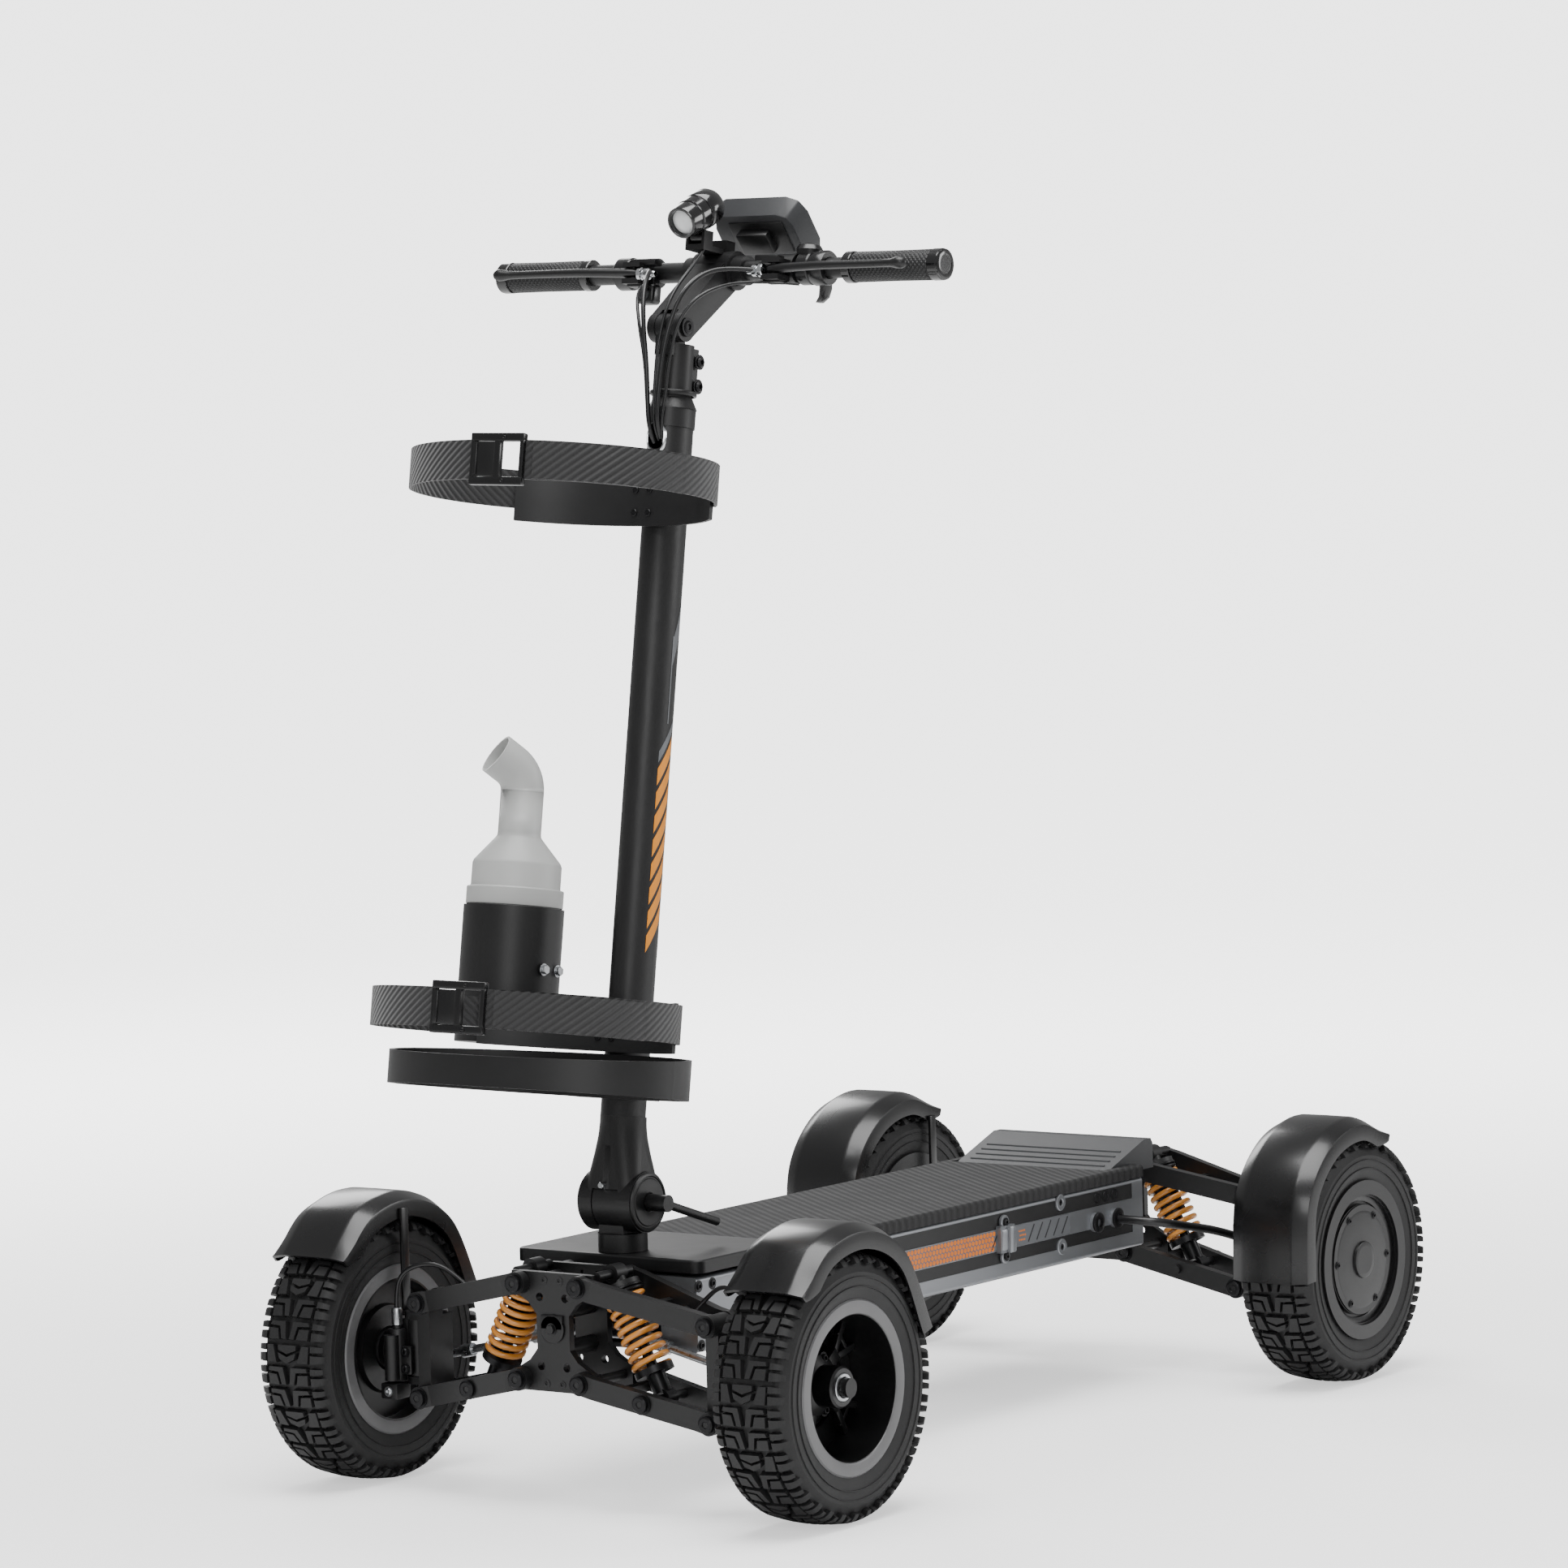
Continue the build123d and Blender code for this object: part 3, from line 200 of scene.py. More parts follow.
def surface(name, colours, patchMm, grainMm, depthMm, roughness, metallic=0.0, ior=1.5, coat=0.0, stretch=(1, 1, 1)):
    # two colours in soft patches, a fine grain that bumps, and a little variation in the gloss
    made, tree, shader = startMaterial(name, colours[0], roughness, metallic, ior, coat)
    place = addNode(tree, "ShaderNodeTexCoord").outputs["Object"]
    place = addNode(tree, "ShaderNodeMapping", {"Vector": place, "Scale": stretch}).outputs[0]
    patches = addNode(tree, "ShaderNodeTexNoise", {"Vector": place, "Scale": 1000 / patchMm, "Detail": 4.0})
    grain = addNode(tree, "ShaderNodeTexNoise", {"Vector": place, "Scale": 1000 / grainMm, "Detail": 2.0})
    colour = blendColours(tree, patches.outputs[0], colours[0], colours[1])
    tree.links.new(colour, shader.inputs["Base Color"])
    gloss = addNode(tree, "ShaderNodeMapRange", {0: patches.outputs[0], 3: roughness - 0.06, 4: roughness + 0.08})
    tree.links.new(gloss.outputs[0], shader.inputs["Roughness"])
    bump = addNode(tree, "ShaderNodeBump", {"Height": grain.outputs[0], "Distance": depthMm / 1000, "Strength": 0.6})
    tree.links.new(bump.outputs[0], shader.inputs["Normal"])
    return made, tree, shader, colour, bump


def giveMaterial(piece, material):
    if piece.material_slots:
        for holder in piece.material_slots:
            holder.material = material
    else:
        piece.data.materials.append(material)


# black powder coat on steel and cast arms: matt, with a slight orange peel about 1 mm across
powderCoat = surface("powderCoat", ("#0a0a0b", "#101011"), 60, 1.0, 0.05, 0.44)[0]
# cast aluminium yoke and stem under satin black paint
satinCast = surface("satinCast", ("#0a0a0b", "#101011"), 80, 1.6, 0.04, 0.38)[0]
# vulcanised rubber: matt, a touch of grey bloom in patches, grain drawn 0.8 mm so that it shows
tyreRubber = surface("tyreRubber", ("#0b0b0c", "#131314"), 25, 0.8, 0.12, 0.6)[0]
# deck mat: the same rubber, matt, with slanted ribs 5 mm apart
matRubber, matTree, matShader, matColour, matBump = surface("matRubber", ("#0a0a0b", "#111112"), 40, 0.8, 0.08, 0.72)
matPlace = addNode(matTree, "ShaderNodeMapping", {"Vector": addNode(matTree, "ShaderNodeTexCoord").outputs["Object"],
                                                  "Rotation": (0, 0, radians(38))}).outputs[0]
matRibs = addNode(matTree, "ShaderNodeTexWave", {"Vector": matPlace, "Scale": 1000 / 5 / 6.2832}).outputs["Fac"]
matRelief = addNode(matTree, "ShaderNodeBump", {"Height": matRibs, "Distance": 0.0016, "Strength": 1.0, "Normal": matBump.outputs[0]})
matTree.links.new(matRelief.outputs[0], matShader.inputs["Normal"])
# painted shade: the ribs' colour is darker in the grooves between them and lighter on their crests
matTree.links.new(blendColours(matTree, matRibs, "#060607", "#1c1c1d"), matShader.inputs["Base Color"])
# moulded ABS guards: near black, soft gloss
guardAbs = surface("guardAbs", ("#070708", "#0c0c0d"), 120, 1.2, 0.02, 0.27, coat=0.1)[0]
# stoved enamel on the spring wire: orange, glossy
springEnamel = surface("springEnamel", ("#c9802e", "#dc9440"), 14, 1.0, 0.02, 0.3, coat=0.5)[0]
# extruded aluminium, brushed along its length and anodised grey
anodised = surface("anodised", ("#7b7d80", "#94969a"), 30, 0.6, 0.02, 0.36, metallic=0.75, stretch=(0.05, 1, 1))[0]
# zinc plated bolts
zincBolt = surface("zincBolt", ("#a9abad", "#c9cbcd"), 6, 0.6, 0.02, 0.28, metallic=1.0)[0]
# black oxide socket screws: dark, slightly shiny
blackScrew = surface("blackScrew", ("#141415", "#212123"), 5, 0.6, 0.02, 0.34, metallic=0.6)[0]
# PVC cable jacket
cableJacket = surface("cableJacket", ("#0c0c0d", "#141415"), 30, 0.7, 0.02, 0.32)[0]
# high density polyethylene, natural grey white
bottlePoly = surface("bottlePoly", ("#a9aaa9", "#b6b7b5"), 60, 0.8, 0.03, 0.42)[0]
# polished chrome of the adjusters
chromeSteel = surface("chromeSteel", ("#c4c6c8", "#dcdee0"), 8, 0.8, 0.0, 0.14, metallic=1.0)[0]
# display case: pebbled dark grey ABS, grain 1 mm
pebbledAbs = surface("pebbledAbs", ("#2b2c2e", "#343537"), 40, 1.0, 0.06, 0.44)[0]
# gloss black anodised barrel
glossBarrel = surface("glossBarrel", ("#0a0a0b", "#111112"), 40, 0.8, 0.01, 0.16, coat=0.6)[0]
print("materials made")


# ---- mesh helpers, all in millimetres until addPiece
def addPiece(name, bm, material, body="", place=None, stands=(), sharp=32):
    matrix = (place or Matrix()) @ Matrix.Scale(0.001, 4)
    bmesh.ops.transform(bm, matrix=matrix, verts=bm.verts)
    bmesh.ops.remove_doubles(bm, verts=bm.verts, dist=1e-6)
    bmesh.ops.recalc_face_normals(bm, faces=bm.faces)
    mesh = bpy.data.meshes.new(name)
    bm.to_mesh(mesh)
    bm.free()
    mesh.shade_smooth()
    mesh.set_sharp_from_angle(angle=radians(sharp))
    piece = bpy.data.objects.new(name, mesh)
    bpy.context.collection.objects.link(piece)
    for one in material if isinstance(material, (list, tuple)) else [material]:
        mesh.materials.append(one)
    if body:
        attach(piece, body)
    if stands:
        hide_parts(*stands)
    return piece


def pointAt(origin, direction, ahead=(1, 0, 0)):
    # a frame at origin, in metres, whose Z runs along direction
    up = Vector(direction).normalized()
    side = up.cross(Vector(ahead))
    if side.length < 0.01:
        side = up.cross(Vector((0, 0, 1)))
    side.normalize()
    return Matrix.Translation(Vector(origin)) @ Matrix((side.cross(up), side, up)).transposed().to_4x4()


def lathe(bm, profile, steps=48, place=Matrix(), closed=False):
    # (radius, along) pairs spun round Z
    before = set(bm.verts)
    points = [bm.verts.new((radius, 0, along)) for radius, along in profile]
    runs = [bm.edges.new(pair) for pair in zip(points, points[1:] + points[:1] if closed else points[1:])]
    bmesh.ops.spin(bm, geom=points + runs, cent=(0, 0, 0), axis=(0, 0, 1), angle=2 * pi, steps=steps, use_merge=True)
    bmesh.ops.transform(bm, matrix=place, verts=[v for v in bm.verts if v not in before])


def slab(bm, size, place=Matrix(), edge=0.0, segments=2):
    made = bmesh.ops.create_cube(bm, size=1, matrix=place @ Matrix.Diagonal((size[0], size[1], size[2], 1)))["verts"]
    if edge:
        edges = list({one for v in made for one in v.link_edges})
        bmesh.ops.bevel(bm, geom=edges, offset=edge, segments=segments, profile=0.5, affect="EDGES", material=-1)


def loft(bm, sections, sides=24):
    # rings of (centre, half width, half height), each square to Z unless it brings its own frame
    rings = []
    for number, (centre, wide, high) in enumerate(sections):
        place = centre if isinstance(centre, Matrix) else Matrix.Translation(centre)
        ring = bmesh.ops.create_circle(bm, segments=sides, radius=1, cap_ends=number in (0, len(sections) - 1),
                                       matrix=place @ Matrix.Diagonal((wide, high, 1, 1)))["verts"]
        inRing = set(ring)
        rings.append([e for v in ring for e in v.link_edges if e.other_vert(v) in inRing])
    for one, other in zip(rings, rings[1:]):
        bmesh.ops.bridge_loops(bm, edges=list(set(one)) + list(set(other)))


def screwHead(bm, place, radius=5.0, height=3.0, socket=2.6):
    # button head with a hexagon socket, and a washer below it
    lathe(bm, [(0, 0), (radius * 1.45, 0), (radius * 1.45, 0.9), (radius, 0.9), (radius, height * 0.55),
               (radius * 0.82, height * 0.9), (socket * 1.25, height), (socket, height - 0.2), (socket, height * 0.35),
               (0, height * 0.35)], steps=18, place=place)


def hexHead(bm, place, across=10.0, height=5.0):
    lathe(bm, [(0, 0), (across * 0.72, 0), (across * 0.72, 1), (0, 1)], steps=20, place=place)
    made = bmesh.ops.create_cone(bm, cap_ends=True, segments=6, radius1=across / 2 * 1.1547, radius2=across / 2 * 1.1547,
                                 depth=height, matrix=place @ Matrix.Translation((0, 0, 1 + height / 2)))["verts"]
    rim = [e for e in {x for v in made for x in v.link_edges} if len(e.link_faces) == 2]
    bmesh.ops.bevel(bm, geom=rim, offset=0.5, segments=1, profile=0.5, affect="EDGES", material=-1)


def cableMesh(name, points, diameter, material, body):
    # points in metres are the control points of one smooth spline
    curve = bpy.data.curves.new(name, "CURVE")
    curve.dimensions = "3D"
    spline = curve.splines.new("NURBS")
    spline.points.add(len(points) - 1)
    for target, point in zip(spline.points, points):
        target.co = (point[0], point[1], point[2], 1)
    spline.order_u = 3
    spline.use_endpoint_u = True
    curve.bevel_depth = diameter / 2
    curve.bevel_resolution = 3
    curve.use_fill_caps = True
    curve.resolution_u = 10
    holder = bpy.data.objects.new(name + "Line", curve)
    bpy.context.collection.objects.link(holder)
    bpy.context.view_layer.update()
    mesh = bpy.data.meshes.new_from_object(holder.evaluated_get(bpy.context.evaluated_depsgraph_get()))
    bpy.data.objects.remove(holder)
    piece = bpy.data.objects.new(name, mesh)
    bpy.context.collection.objects.link(piece)
    mesh.materials.clear()
    mesh.materials.append(material)
    mesh.shade_smooth()
    if body:
        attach(piece, body)
    return piece


def inColumn(ahead, left, up):
    return columnFrame @ Vector((ahead / 1000, left / 1000, up / 1000))


# ---- cables, first: they follow the same routes as their solids
barAhead, barUp, portUp = -59.0, 989.0, 799.0
tubeFront = 34.0


def makeCables():
    lead = barAhead + 36
    for name, side, drop in (("Left", 1, 0), ("Right", -1, 5)):
        route = [(lead - 4, side * 78, barUp - 6), (lead + 12, side * 56, barUp - 5), (lead + 40, side * 37, barUp - 12),
                 (tubeFront + 6, side * 25, barUp - 38), (tubeFront + 13, side * 16, barUp - 76),
                 (tubeFront + 12, side * 10, barUp - 110), (tubeFront + 10, side * 7, barUp - 145),
                 (tubeFront + 7, side * 5, portUp + 15 - drop), (tubeFront - 4, side * 4, portUp - drop)]
        cable = cableMesh("brakeCable" + name, [inColumn(*point) for point in route], 0.005, cableJacket, "")
        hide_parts("control_cables")
        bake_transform(cable)
    # thinner leads of the throttle, horn and lamp, bundled with the brake cables
    for name, side, start in (("throttleLead", 1, (barAhead + 10, 112, barUp - 18)), ("hornLead", -1, (barAhead + 14, -84, barUp - 22))):
        route = [start, (start[0] + 26, side * 66, barUp - 16), (tubeFront - 8, side * 44, barUp - 34),
                 (tubeFront + 10, side * 26, barUp - 66), (tubeFront + 7, side * 15, barUp - 112),
                 (tubeFront + 4, side * 12, barUp - 150), (tubeFront + 4, side * 8, portUp + 14), (tubeFront - 6, side * 6, portUp - 3)]
        cable = cableMesh(name, [inColumn(*point) for point in route], 0.0036, cableJacket, "")
        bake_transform(cable)
    route = [(barAhead + 40, 10, barUp + 22), (barAhead + 52, 8, barUp + 4), (tubeFront - 2, 4, barUp - 40),
             (tubeFront + 9, 1, barUp - 90), (tubeFront + 8, 0, barUp - 140), (tubeFront + 6, 0, portUp + 12), (tubeFront - 6, 0, portUp - 2)]
    cable = cableMesh("lampLead", [inColumn(*point) for point in route], 0.0036, cableJacket, "")
    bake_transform(cable)
    # motor leads, from the housing to the rear uprights
    half = (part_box("deck_housing")[1][1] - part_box("deck_housing")[0][1]) / 2
    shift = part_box("motor_leads")[1][0]
    for name, side in (("left", 1), ("right", -1)):
        start = half + 0.0045
        ends = [(shift, start, 0.194), (shift, start + 0.028, 0.194), (shift - 0.018, start + 0.05, 0.190),
                (shift - 0.054, start + 0.06, 0.182), (shift - 0.102, start + 0.064, 0.172), (shift - 0.132, start + 0.07, 0.162)]
        points = [(x, side * y, z) for x, y, z in ends]
        lead = cableMesh("motorLead" + name.title(), points, 0.010, cableJacket, "")
        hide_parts("motor_leads")
        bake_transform(lead)


makeCables()
print("cables laid")


# ---- tyres: a spun carcass and moulded tread blocks wrapped on to it
tyreSettings = {"radius": 140.0, "halfWidth": 44.1, "tread": 6.4, "pitches": 12, "corner": 13.2, "crown": 2.6,
                "beadRadius": 82.6, "beadHalf": 36.0}


def onTyre(around, across, height):
    # flat tread coordinates to the wheel's own: across bends down over the shoulder
    size = tyreSettings
    flat = size["halfWidth"] - size["corner"]
    drop = size["crown"] * min(abs(across) / flat, 1) ** 2
    middle = size["radius"] - size["crown"] - size["corner"]
    tilt = max(0.0, (abs(across) - flat) / size["corner"])
    if tilt == 0:
        radius, out = size["radius"] - drop + height, abs(across)
    else:
        radius = middle + (size["corner"] + height) * cos(tilt)
        out = flat + (size["corner"] + height) * sin(tilt)
    turn = around / size["radius"]
    return Vector((radius * cos(turn), out if across > 0 else -out, radius * sin(turn)))


def treadBlock(bm, outline):
    # outline is (around, across) in pitch lengths and millimetres, pulled up from the groove floor
    size = tyreSettings
    face = bm.faces.new([bm.verts.new((around, across, -size["tread"] - 0.8)) for around, across in outline])
    top = bmesh.ops.extrude_face_region(bm, geom=[face])["geom"]
    raised = [v for v in top if isinstance(v, bmesh.types.BMVert)]
    centre = sum((v.co for v in raised), Vector()) / len(raised)
    for v in raised:
        v.co.z = 0
        v.co.x = centre.x + (v.co.x - centre.x) * 0.93
        v.co.y = centre.y + (v.co.y - centre.y) * 0.95


# one repeat of the tread: a row of chevrons and slanted blocks, then two rows of hooks and wedges,
# each outline in (around, across), for the side from the middle to the shoulder
treadRow = 2 * pi * tyreSettings["radius"] / tyreSettings["pitches"] / 3
treadPattern = (
    ([(21.5, -12.5), (21.5, 12.5), (16, 12.5), (11.5, 0), (16, -12.5)],
     [(13.5, -12.5), (8.8, 0), (13.5, 12.5), (6.5, 10.5), (1.5, 0), (6.5, -10.5)]),
    ([(21.5, 19), (21.5, 28), (2, 27), (2, 13.5)],),
    ([(22.5, 5), (22.5, 25), (18, 26.5), (17, 11.5), (2.5, 8), (2.5, 1.6)],
     [(14.5, 14), (15, 26.5), (2.5, 26), (2.5, 11)]),
    ([(2, 29.3), (12, 29.3), (11, 49), (3.5, 49)], [(14.5, 29.3), (22, 29.3), (21, 44.5), (15, 44.5)]))


def makeTyre():
    size = tyreSettings
    bm = bmesh.new()
    for number in range(size["pitches"] * 3):
        base = number * treadRow
        if number % 3 == 0:
            for spot in treadPattern[0]:
                treadBlock(bm, [(base + around, across) for around, across in spot])
        for side in (-1, 1):
            for spot in (treadPattern[1] if number % 3 == 0 else treadPattern[2]) + treadPattern[3]:
                treadBlock(bm, [(base + around, side * across) for around, across in spot])
    for across in (-44, -39, -34, 34, 39, 44):
        bmesh.ops.bisect_plane(bm, geom=bm.verts[:] + bm.edges[:] + bm.faces[:], plane_co=(0, across, 0), plane_no=(0, 1, 0))
    for v in bm.verts:
        v.co = onTyre(v.co.x, v.co.y, v.co.z)
    outside = [onTyre(0, across, -size["tread"]) for across in range(0, 50, 3)]
    profile = [(point.x, point.y) for point in outside] + [(118, 42.6), (108, 43.2), (99, 41.5), (91, 38.6),
                                                            (88.5, 37.9), (size["beadRadius"], size["beadHalf"])]
    profile = [(radius, -out) for radius, out in reversed(profile)] + profile[1:]
    # turned so that the spin is about the axle
    lathe(bm, profile, steps=96, place=Matrix.Rotation(radians(-90), 4, "X"))
    # two raised rings on each sidewall
    for side in (-1, 1):
        for ring in (103.5, 113.0):
            lathe(bm, [(ring - 0.8, 41.2 if ring < 110 else 42.4), (ring - 0.4, 43.7 if ring < 110 else 44.0),
                       (ring + 0.4, 43.7 if ring < 110 else 44.0), (ring + 0.8, 41.2 if ring < 110 else 42.4)],
                  steps=72, place=Matrix.Rotation(radians(-90 * side), 4, "X"))
    return bm


firstTyre = None
for name in cornerNames:
    centre = Matrix.Translation(jointAt["wheel_spin_" + name])
    if firstTyre is None:
        addPiece("treadTyre_" + name, makeTyre(), tyreRubber, "wheel_" + name, centre, ("tyre_" + name,), sharp=28)
        firstTyre = bpy.data.objects["treadTyre_" + name].data
        firstCentre = centre.translation.copy()
    else:
        copyMesh = firstTyre.copy()
        copyMesh.transform(Matrix.Translation(centre.translation - firstCentre))
        piece = bpy.data.objects.new("treadTyre_" + name, copyMesh)
        bpy.context.collection.objects.link(piece)
        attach(piece, "wheel_" + name)
        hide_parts("tyre_" + name)
print("tyres moulded")


# ---- mudguards: an arch with a flat top, bevelled shoulders and short skirts, and its stay
guardSettings = {"line": ((102, 110), (52, 156), (-22, 167), (-92, 134), (-139, 48)), "half": 49.0, "flat": 34.0,
                 "shoulder": 9.0, "skirt": 27.0, "wall": 3.0, "turn": 23.0, "steps": 48}


def archPoint(share):
    # smooth curve through the guard's set points
    line = guardSettings["line"]
    ends = (line[0],) + line + (line[-1],)
    place = min(share * (len(line) - 1), len(line) - 1.001)
    first, t = int(place), place - int(place)
    return [0.5 * (2 * b + (c - a) * t + (2 * a - 5 * b + 4 * c - d) * t * t + (3 * b - a - 3 * c + d) * t ** 3)
            for a, b, c, d in zip(*ends[first:first + 4])]


def makeGuards():
    size = guardSettings
    section = ((-1, size["skirt"]), (-1, size["shoulder"] + 3), (-0.985, size["shoulder"]), (-size["flat"] / size["half"], 1.2),
               (-0.6, 0.3), (0, 0), (0.6, 0.3), (size["flat"] / size["half"], 1.2), (0.985, size["shoulder"]), (1, size["shoulder"] + 3),
               (1, size["skirt"]))
    for name in cornerNames:
        front, side = name.startswith("front"), 1 if "left" in name else -1
        centre = jointAt["wheel_spin_" + name]
        place = Matrix.Translation(centre) @ Matrix.Diagonal((1 if front else -1, side, 1, 1))
        bm = bmesh.new()
        grid = bmesh.ops.create_grid(bm, x_segments=size["steps"], y_segments=len(section) - 1, size=0.5)["verts"]
        for v in grid:
            across, inset = section[round((v.co.y + 0.5) * (len(section) - 1))]
            share = v.co.x + 0.5
            x, z = archPoint(share)
            # the skirts run out to nothing at the rear tip, the shoulders narrow at both ends
            inset *= 1 if share > 0.12 else 0.45 + 0.55 * share / 0.12
            reach = hypot(x, z)
            v.co = (x * (reach - inset) / reach, across * size["half"], z * (reach - inset) / reach)
        bmesh.ops.recalc_face_normals(bm, faces=bm.faces)
        if bm.faces[0].normal.dot(bm.faces[0].calc_center_median()) < 0:
            bmesh.ops.reverse_faces(bm, faces=bm.faces)
        bmesh.ops.solidify(bm, geom=bm.faces[:], thickness=size["wall"])
        if not front:
            bmesh.ops.rotate(bm, cent=(0, 0, 0), matrix=Matrix.Rotation(radians(-size["turn"]), 3, "Y"), verts=bm.verts)
        # stay: a flat strip on the inner side, down to a foot on the upright
        ahead = 0 if front else 26
        top = 152 if front else 132
        slab(bm, (12, 3.6, top - 38), Matrix.Translation((ahead, -size["half"] - 2.0, (top + 38) / 2)), 1.0)
        reachIn = abs(centre.y) * 1000 - 236 - size["half"]
        slab(bm, (24, reachIn, 4.4), Matrix.Translation((ahead, -size["half"] - reachIn / 2, 40.6)), 1.0)
        body = "knuckle_" + name if front else "upright_" + name
        addPiece("guard_" + name, bm, guardAbs, body, place, ("mudguard_" + name,), sharp=24)


makeGuards()
print("mudguards moulded")


# ---- coil springs, each drawn out between its damper's two seats
springSettings = {"coil": 18.8, "wire": 3.2, "turns": 8.6, "top": 21.5, "low": 36.0}


def makeSprings():
    for name in cornerNames:
        along = jointAxis["damper_slide_" + name]
        top = jointAt["damper_swing_" + name]
        seat = pointAt(top, along)
        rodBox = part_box("damper_rod_" + name)
        length = (top.z - rodBox[0][2] - 0.010) / -along.z * 1000
        begin, end = springSettings["top"], length - springSettings["low"]
        bm = bmesh.new()
        ring = bmesh.ops.create_circle(bm, segments=10, radius=springSettings["wire"],
                                       matrix=Matrix.Translation((springSettings["coil"], 0, begin)) @ Matrix.Rotation(radians(90), 4, "X"))["verts"]
        loops = list({e for v in ring for e in v.link_edges})
        steps = int(springSettings["turns"] * 22)
        bmesh.ops.spin(bm, geom=ring + loops, cent=(0, 0, 0), axis=(0, 0, 1), angle=2 * pi * springSettings["turns"],
                       dvec=(0, 0, (end - begin) / steps), steps=steps)
        bmesh.ops.holes_fill(bm, edges=[e for e in bm.edges if len(e.link_faces) == 1], sides=12)
        spring = addPiece("coilSpring_" + name, bm, springEnamel, "", seat, ("coil_springs",), sharp=50)
        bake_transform(spring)


makeSprings()
print("springs wound")


# ---- wheels: cast rims at the front, hub motors at the rear
rimSettings = {"lip": 90.6, "bore": 75.0, "lipOut": 40.2, "plate": -10.0, "hub": 21.5, "hubOut": 26.0, "spokes": 5}
# cast aluminium rim face, turned and left pale grey under satin lacquer
rimFace = surface("turnedRimFace", ("#5f5f60", "#6c6c6d"), 20, 0.5, 0.02, 0.4, metallic=0.3, stretch=(1, 1, 1))[0]
# the same casting, painted black inside
rimBlack = surface("paintedRimBlack", ("#09090a", "#101011"), 30, 1.0, 0.03, 0.34)[0]
toY = Matrix.Rotation(radians(-90), 4, "X")


def makeRim(name):
    size = rimSettings
    place = Matrix.Translation(jointAt["wheel_spin_" + name]) @ Matrix.Diagonal((1, 1 if "left" in name else -1, 1, 1))
    body = "wheel_" + name
    bm = bmesh.new()
    lathe(bm, [(81.5, -39), (size["bore"] - 1, -40), (size["bore"] - 1, -38), (size["bore"], -30), (size["bore"], 30),
               (size["bore"], 38.6), (78, 39.4), (81.5, 38)], steps=72, place=toY, closed=True)
    lathe(bm, [(size["hub"], -28), (size["hub"] + 4, -12), (30, -9), (31, -4), (size["hub"], 2), (size["hub"], size["hubOut"] - 2),
               (size["hub"] - 2, size["hubOut"]), (15, size["hubOut"]), (15, size["hubOut"] - 6), (10.2, size["hubOut"] - 6),
               (10.2, -28)], steps=48, place=toY, closed=True)
    for number in range(size["spokes"]):
        turn = Matrix.Rotation(2 * pi * number / size["spokes"], 4, "Y")
        slab(bm, (26, 9, 15), turn @ Matrix.Translation((34, size["plate"], 0)), 1.2)
        for side in (-1, 1):
            fork = turn @ Matrix.Translation((45, size["plate"], side * 3)) @ Matrix.Rotation(radians(-side * 24), 4, "Y")
            slab(bm, (36, 8, 7.5), fork @ Matrix.Translation((16, 0, 0)), 1.2)
        slab(bm, (5, 7, 30), turn @ Matrix.Translation((62, size["plate"], 0)), 1.2)
    # brake drum and the dished back that closes the rim behind the spokes
    lathe(bm, [(24, -22), (44, -21), (46, -19), (46, -13.5), (48, -15), (62, -17), (size["bore"] - 0.5, -17), (size["bore"] - 0.5, -20),
               (48, -20), (46, -26), (24, -26)], steps=72, place=toY, closed=True)
    addPiece("castRim_" + name, bm, rimBlack, body, place, ("rim_" + name,))
    bm = bmesh.new()
    for side in (1, -1):
        flip = toY if side > 0 else Matrix.Rotation(radians(90), 4, "X")
        lathe(bm, [(size["bore"], size["lipOut"] - 2.4), (size["bore"] + 1, size["lipOut"] - 0.6), (size["bore"] + 2.2, size["lipOut"]),
                   (size["lip"] - 1.6, size["lipOut"]), (size["lip"], size["lipOut"] - 1.4), (size["lip"], size["lipOut"] - 2.4)],
              steps=96, place=flip, closed=True)
    addPiece("rimLips_" + name, bm, rimFace, body, place)
    bm = bmesh.new()
    lathe(bm, [(10.4, 0), (14.6, 0), (14.6, 0.8), (13.8, 1.6), (11.2, 1.6), (10.4, 0.8)], steps=40,
          place=Matrix.Translation((0, size["hubOut"] - 0.2, 0)) @ toY, closed=True)
    addPiece("hubRing_" + name, bm, zincBolt, body, place)
    bm = bmesh.new()
    for number in range(size["spokes"]):
        turn = Matrix.Rotation(2 * pi * (number + 0.5) / size["spokes"], 4, "Y")
        screwHead(bm, turn @ Matrix.Translation((28, -4.4, 0)) @ toY, 4.6, 4.2, 2.4)
    addPiece("rimScrews_" + name, bm, blackScrew, body, place)


def makeMotorTrim(name):
    # stepped cover rings, domed cap with its axle boss, and the cover screws
    place = Matrix.Translation(jointAt["wheel_spin_" + name]) @ Matrix.Diagonal((1, 1 if "left" in name else -1, 1, 1))
    bm = bmesh.new()
    lathe(bm, [(0, 40), (19, 42.4), (20.5, 41.8), (21, 39.4), (34, 39), (52, 38.4), (60, 37.4), (62.6, 35.5), (62.6, 30),
               (0, 30)], steps=72, place=toY)
    lathe(bm, [(66, 30), (66, 33.4), (69, 34.6), (72.5, 34.6), (74, 33.4), (74, 30)], steps=72, place=toY, closed=True)
    addPiece("motorCover_" + name, bm, rimBlack, "wheel_" + name, place)
    bm = bmesh.new()
    for number in range(6):
        turn = Matrix.Rotation(2 * pi * number / 6, 4, "Y")
        screwHead(bm, turn @ Matrix.Translation((54, 37.9, 0)) @ toY, 3.2, 2.2, 1.7)
    addPiece("motorScrews_" + name, bm, blackScrew, "wheel_" + name, place)
    bm = bmesh.new()
    lathe(bm, [(76, 40.1), (76.6, 41), (89, 41), (90, 40.1)], steps=96, place=toY)
    addPiece("motorLip_" + name, bm, rimFace, "wheel_" + name, place)


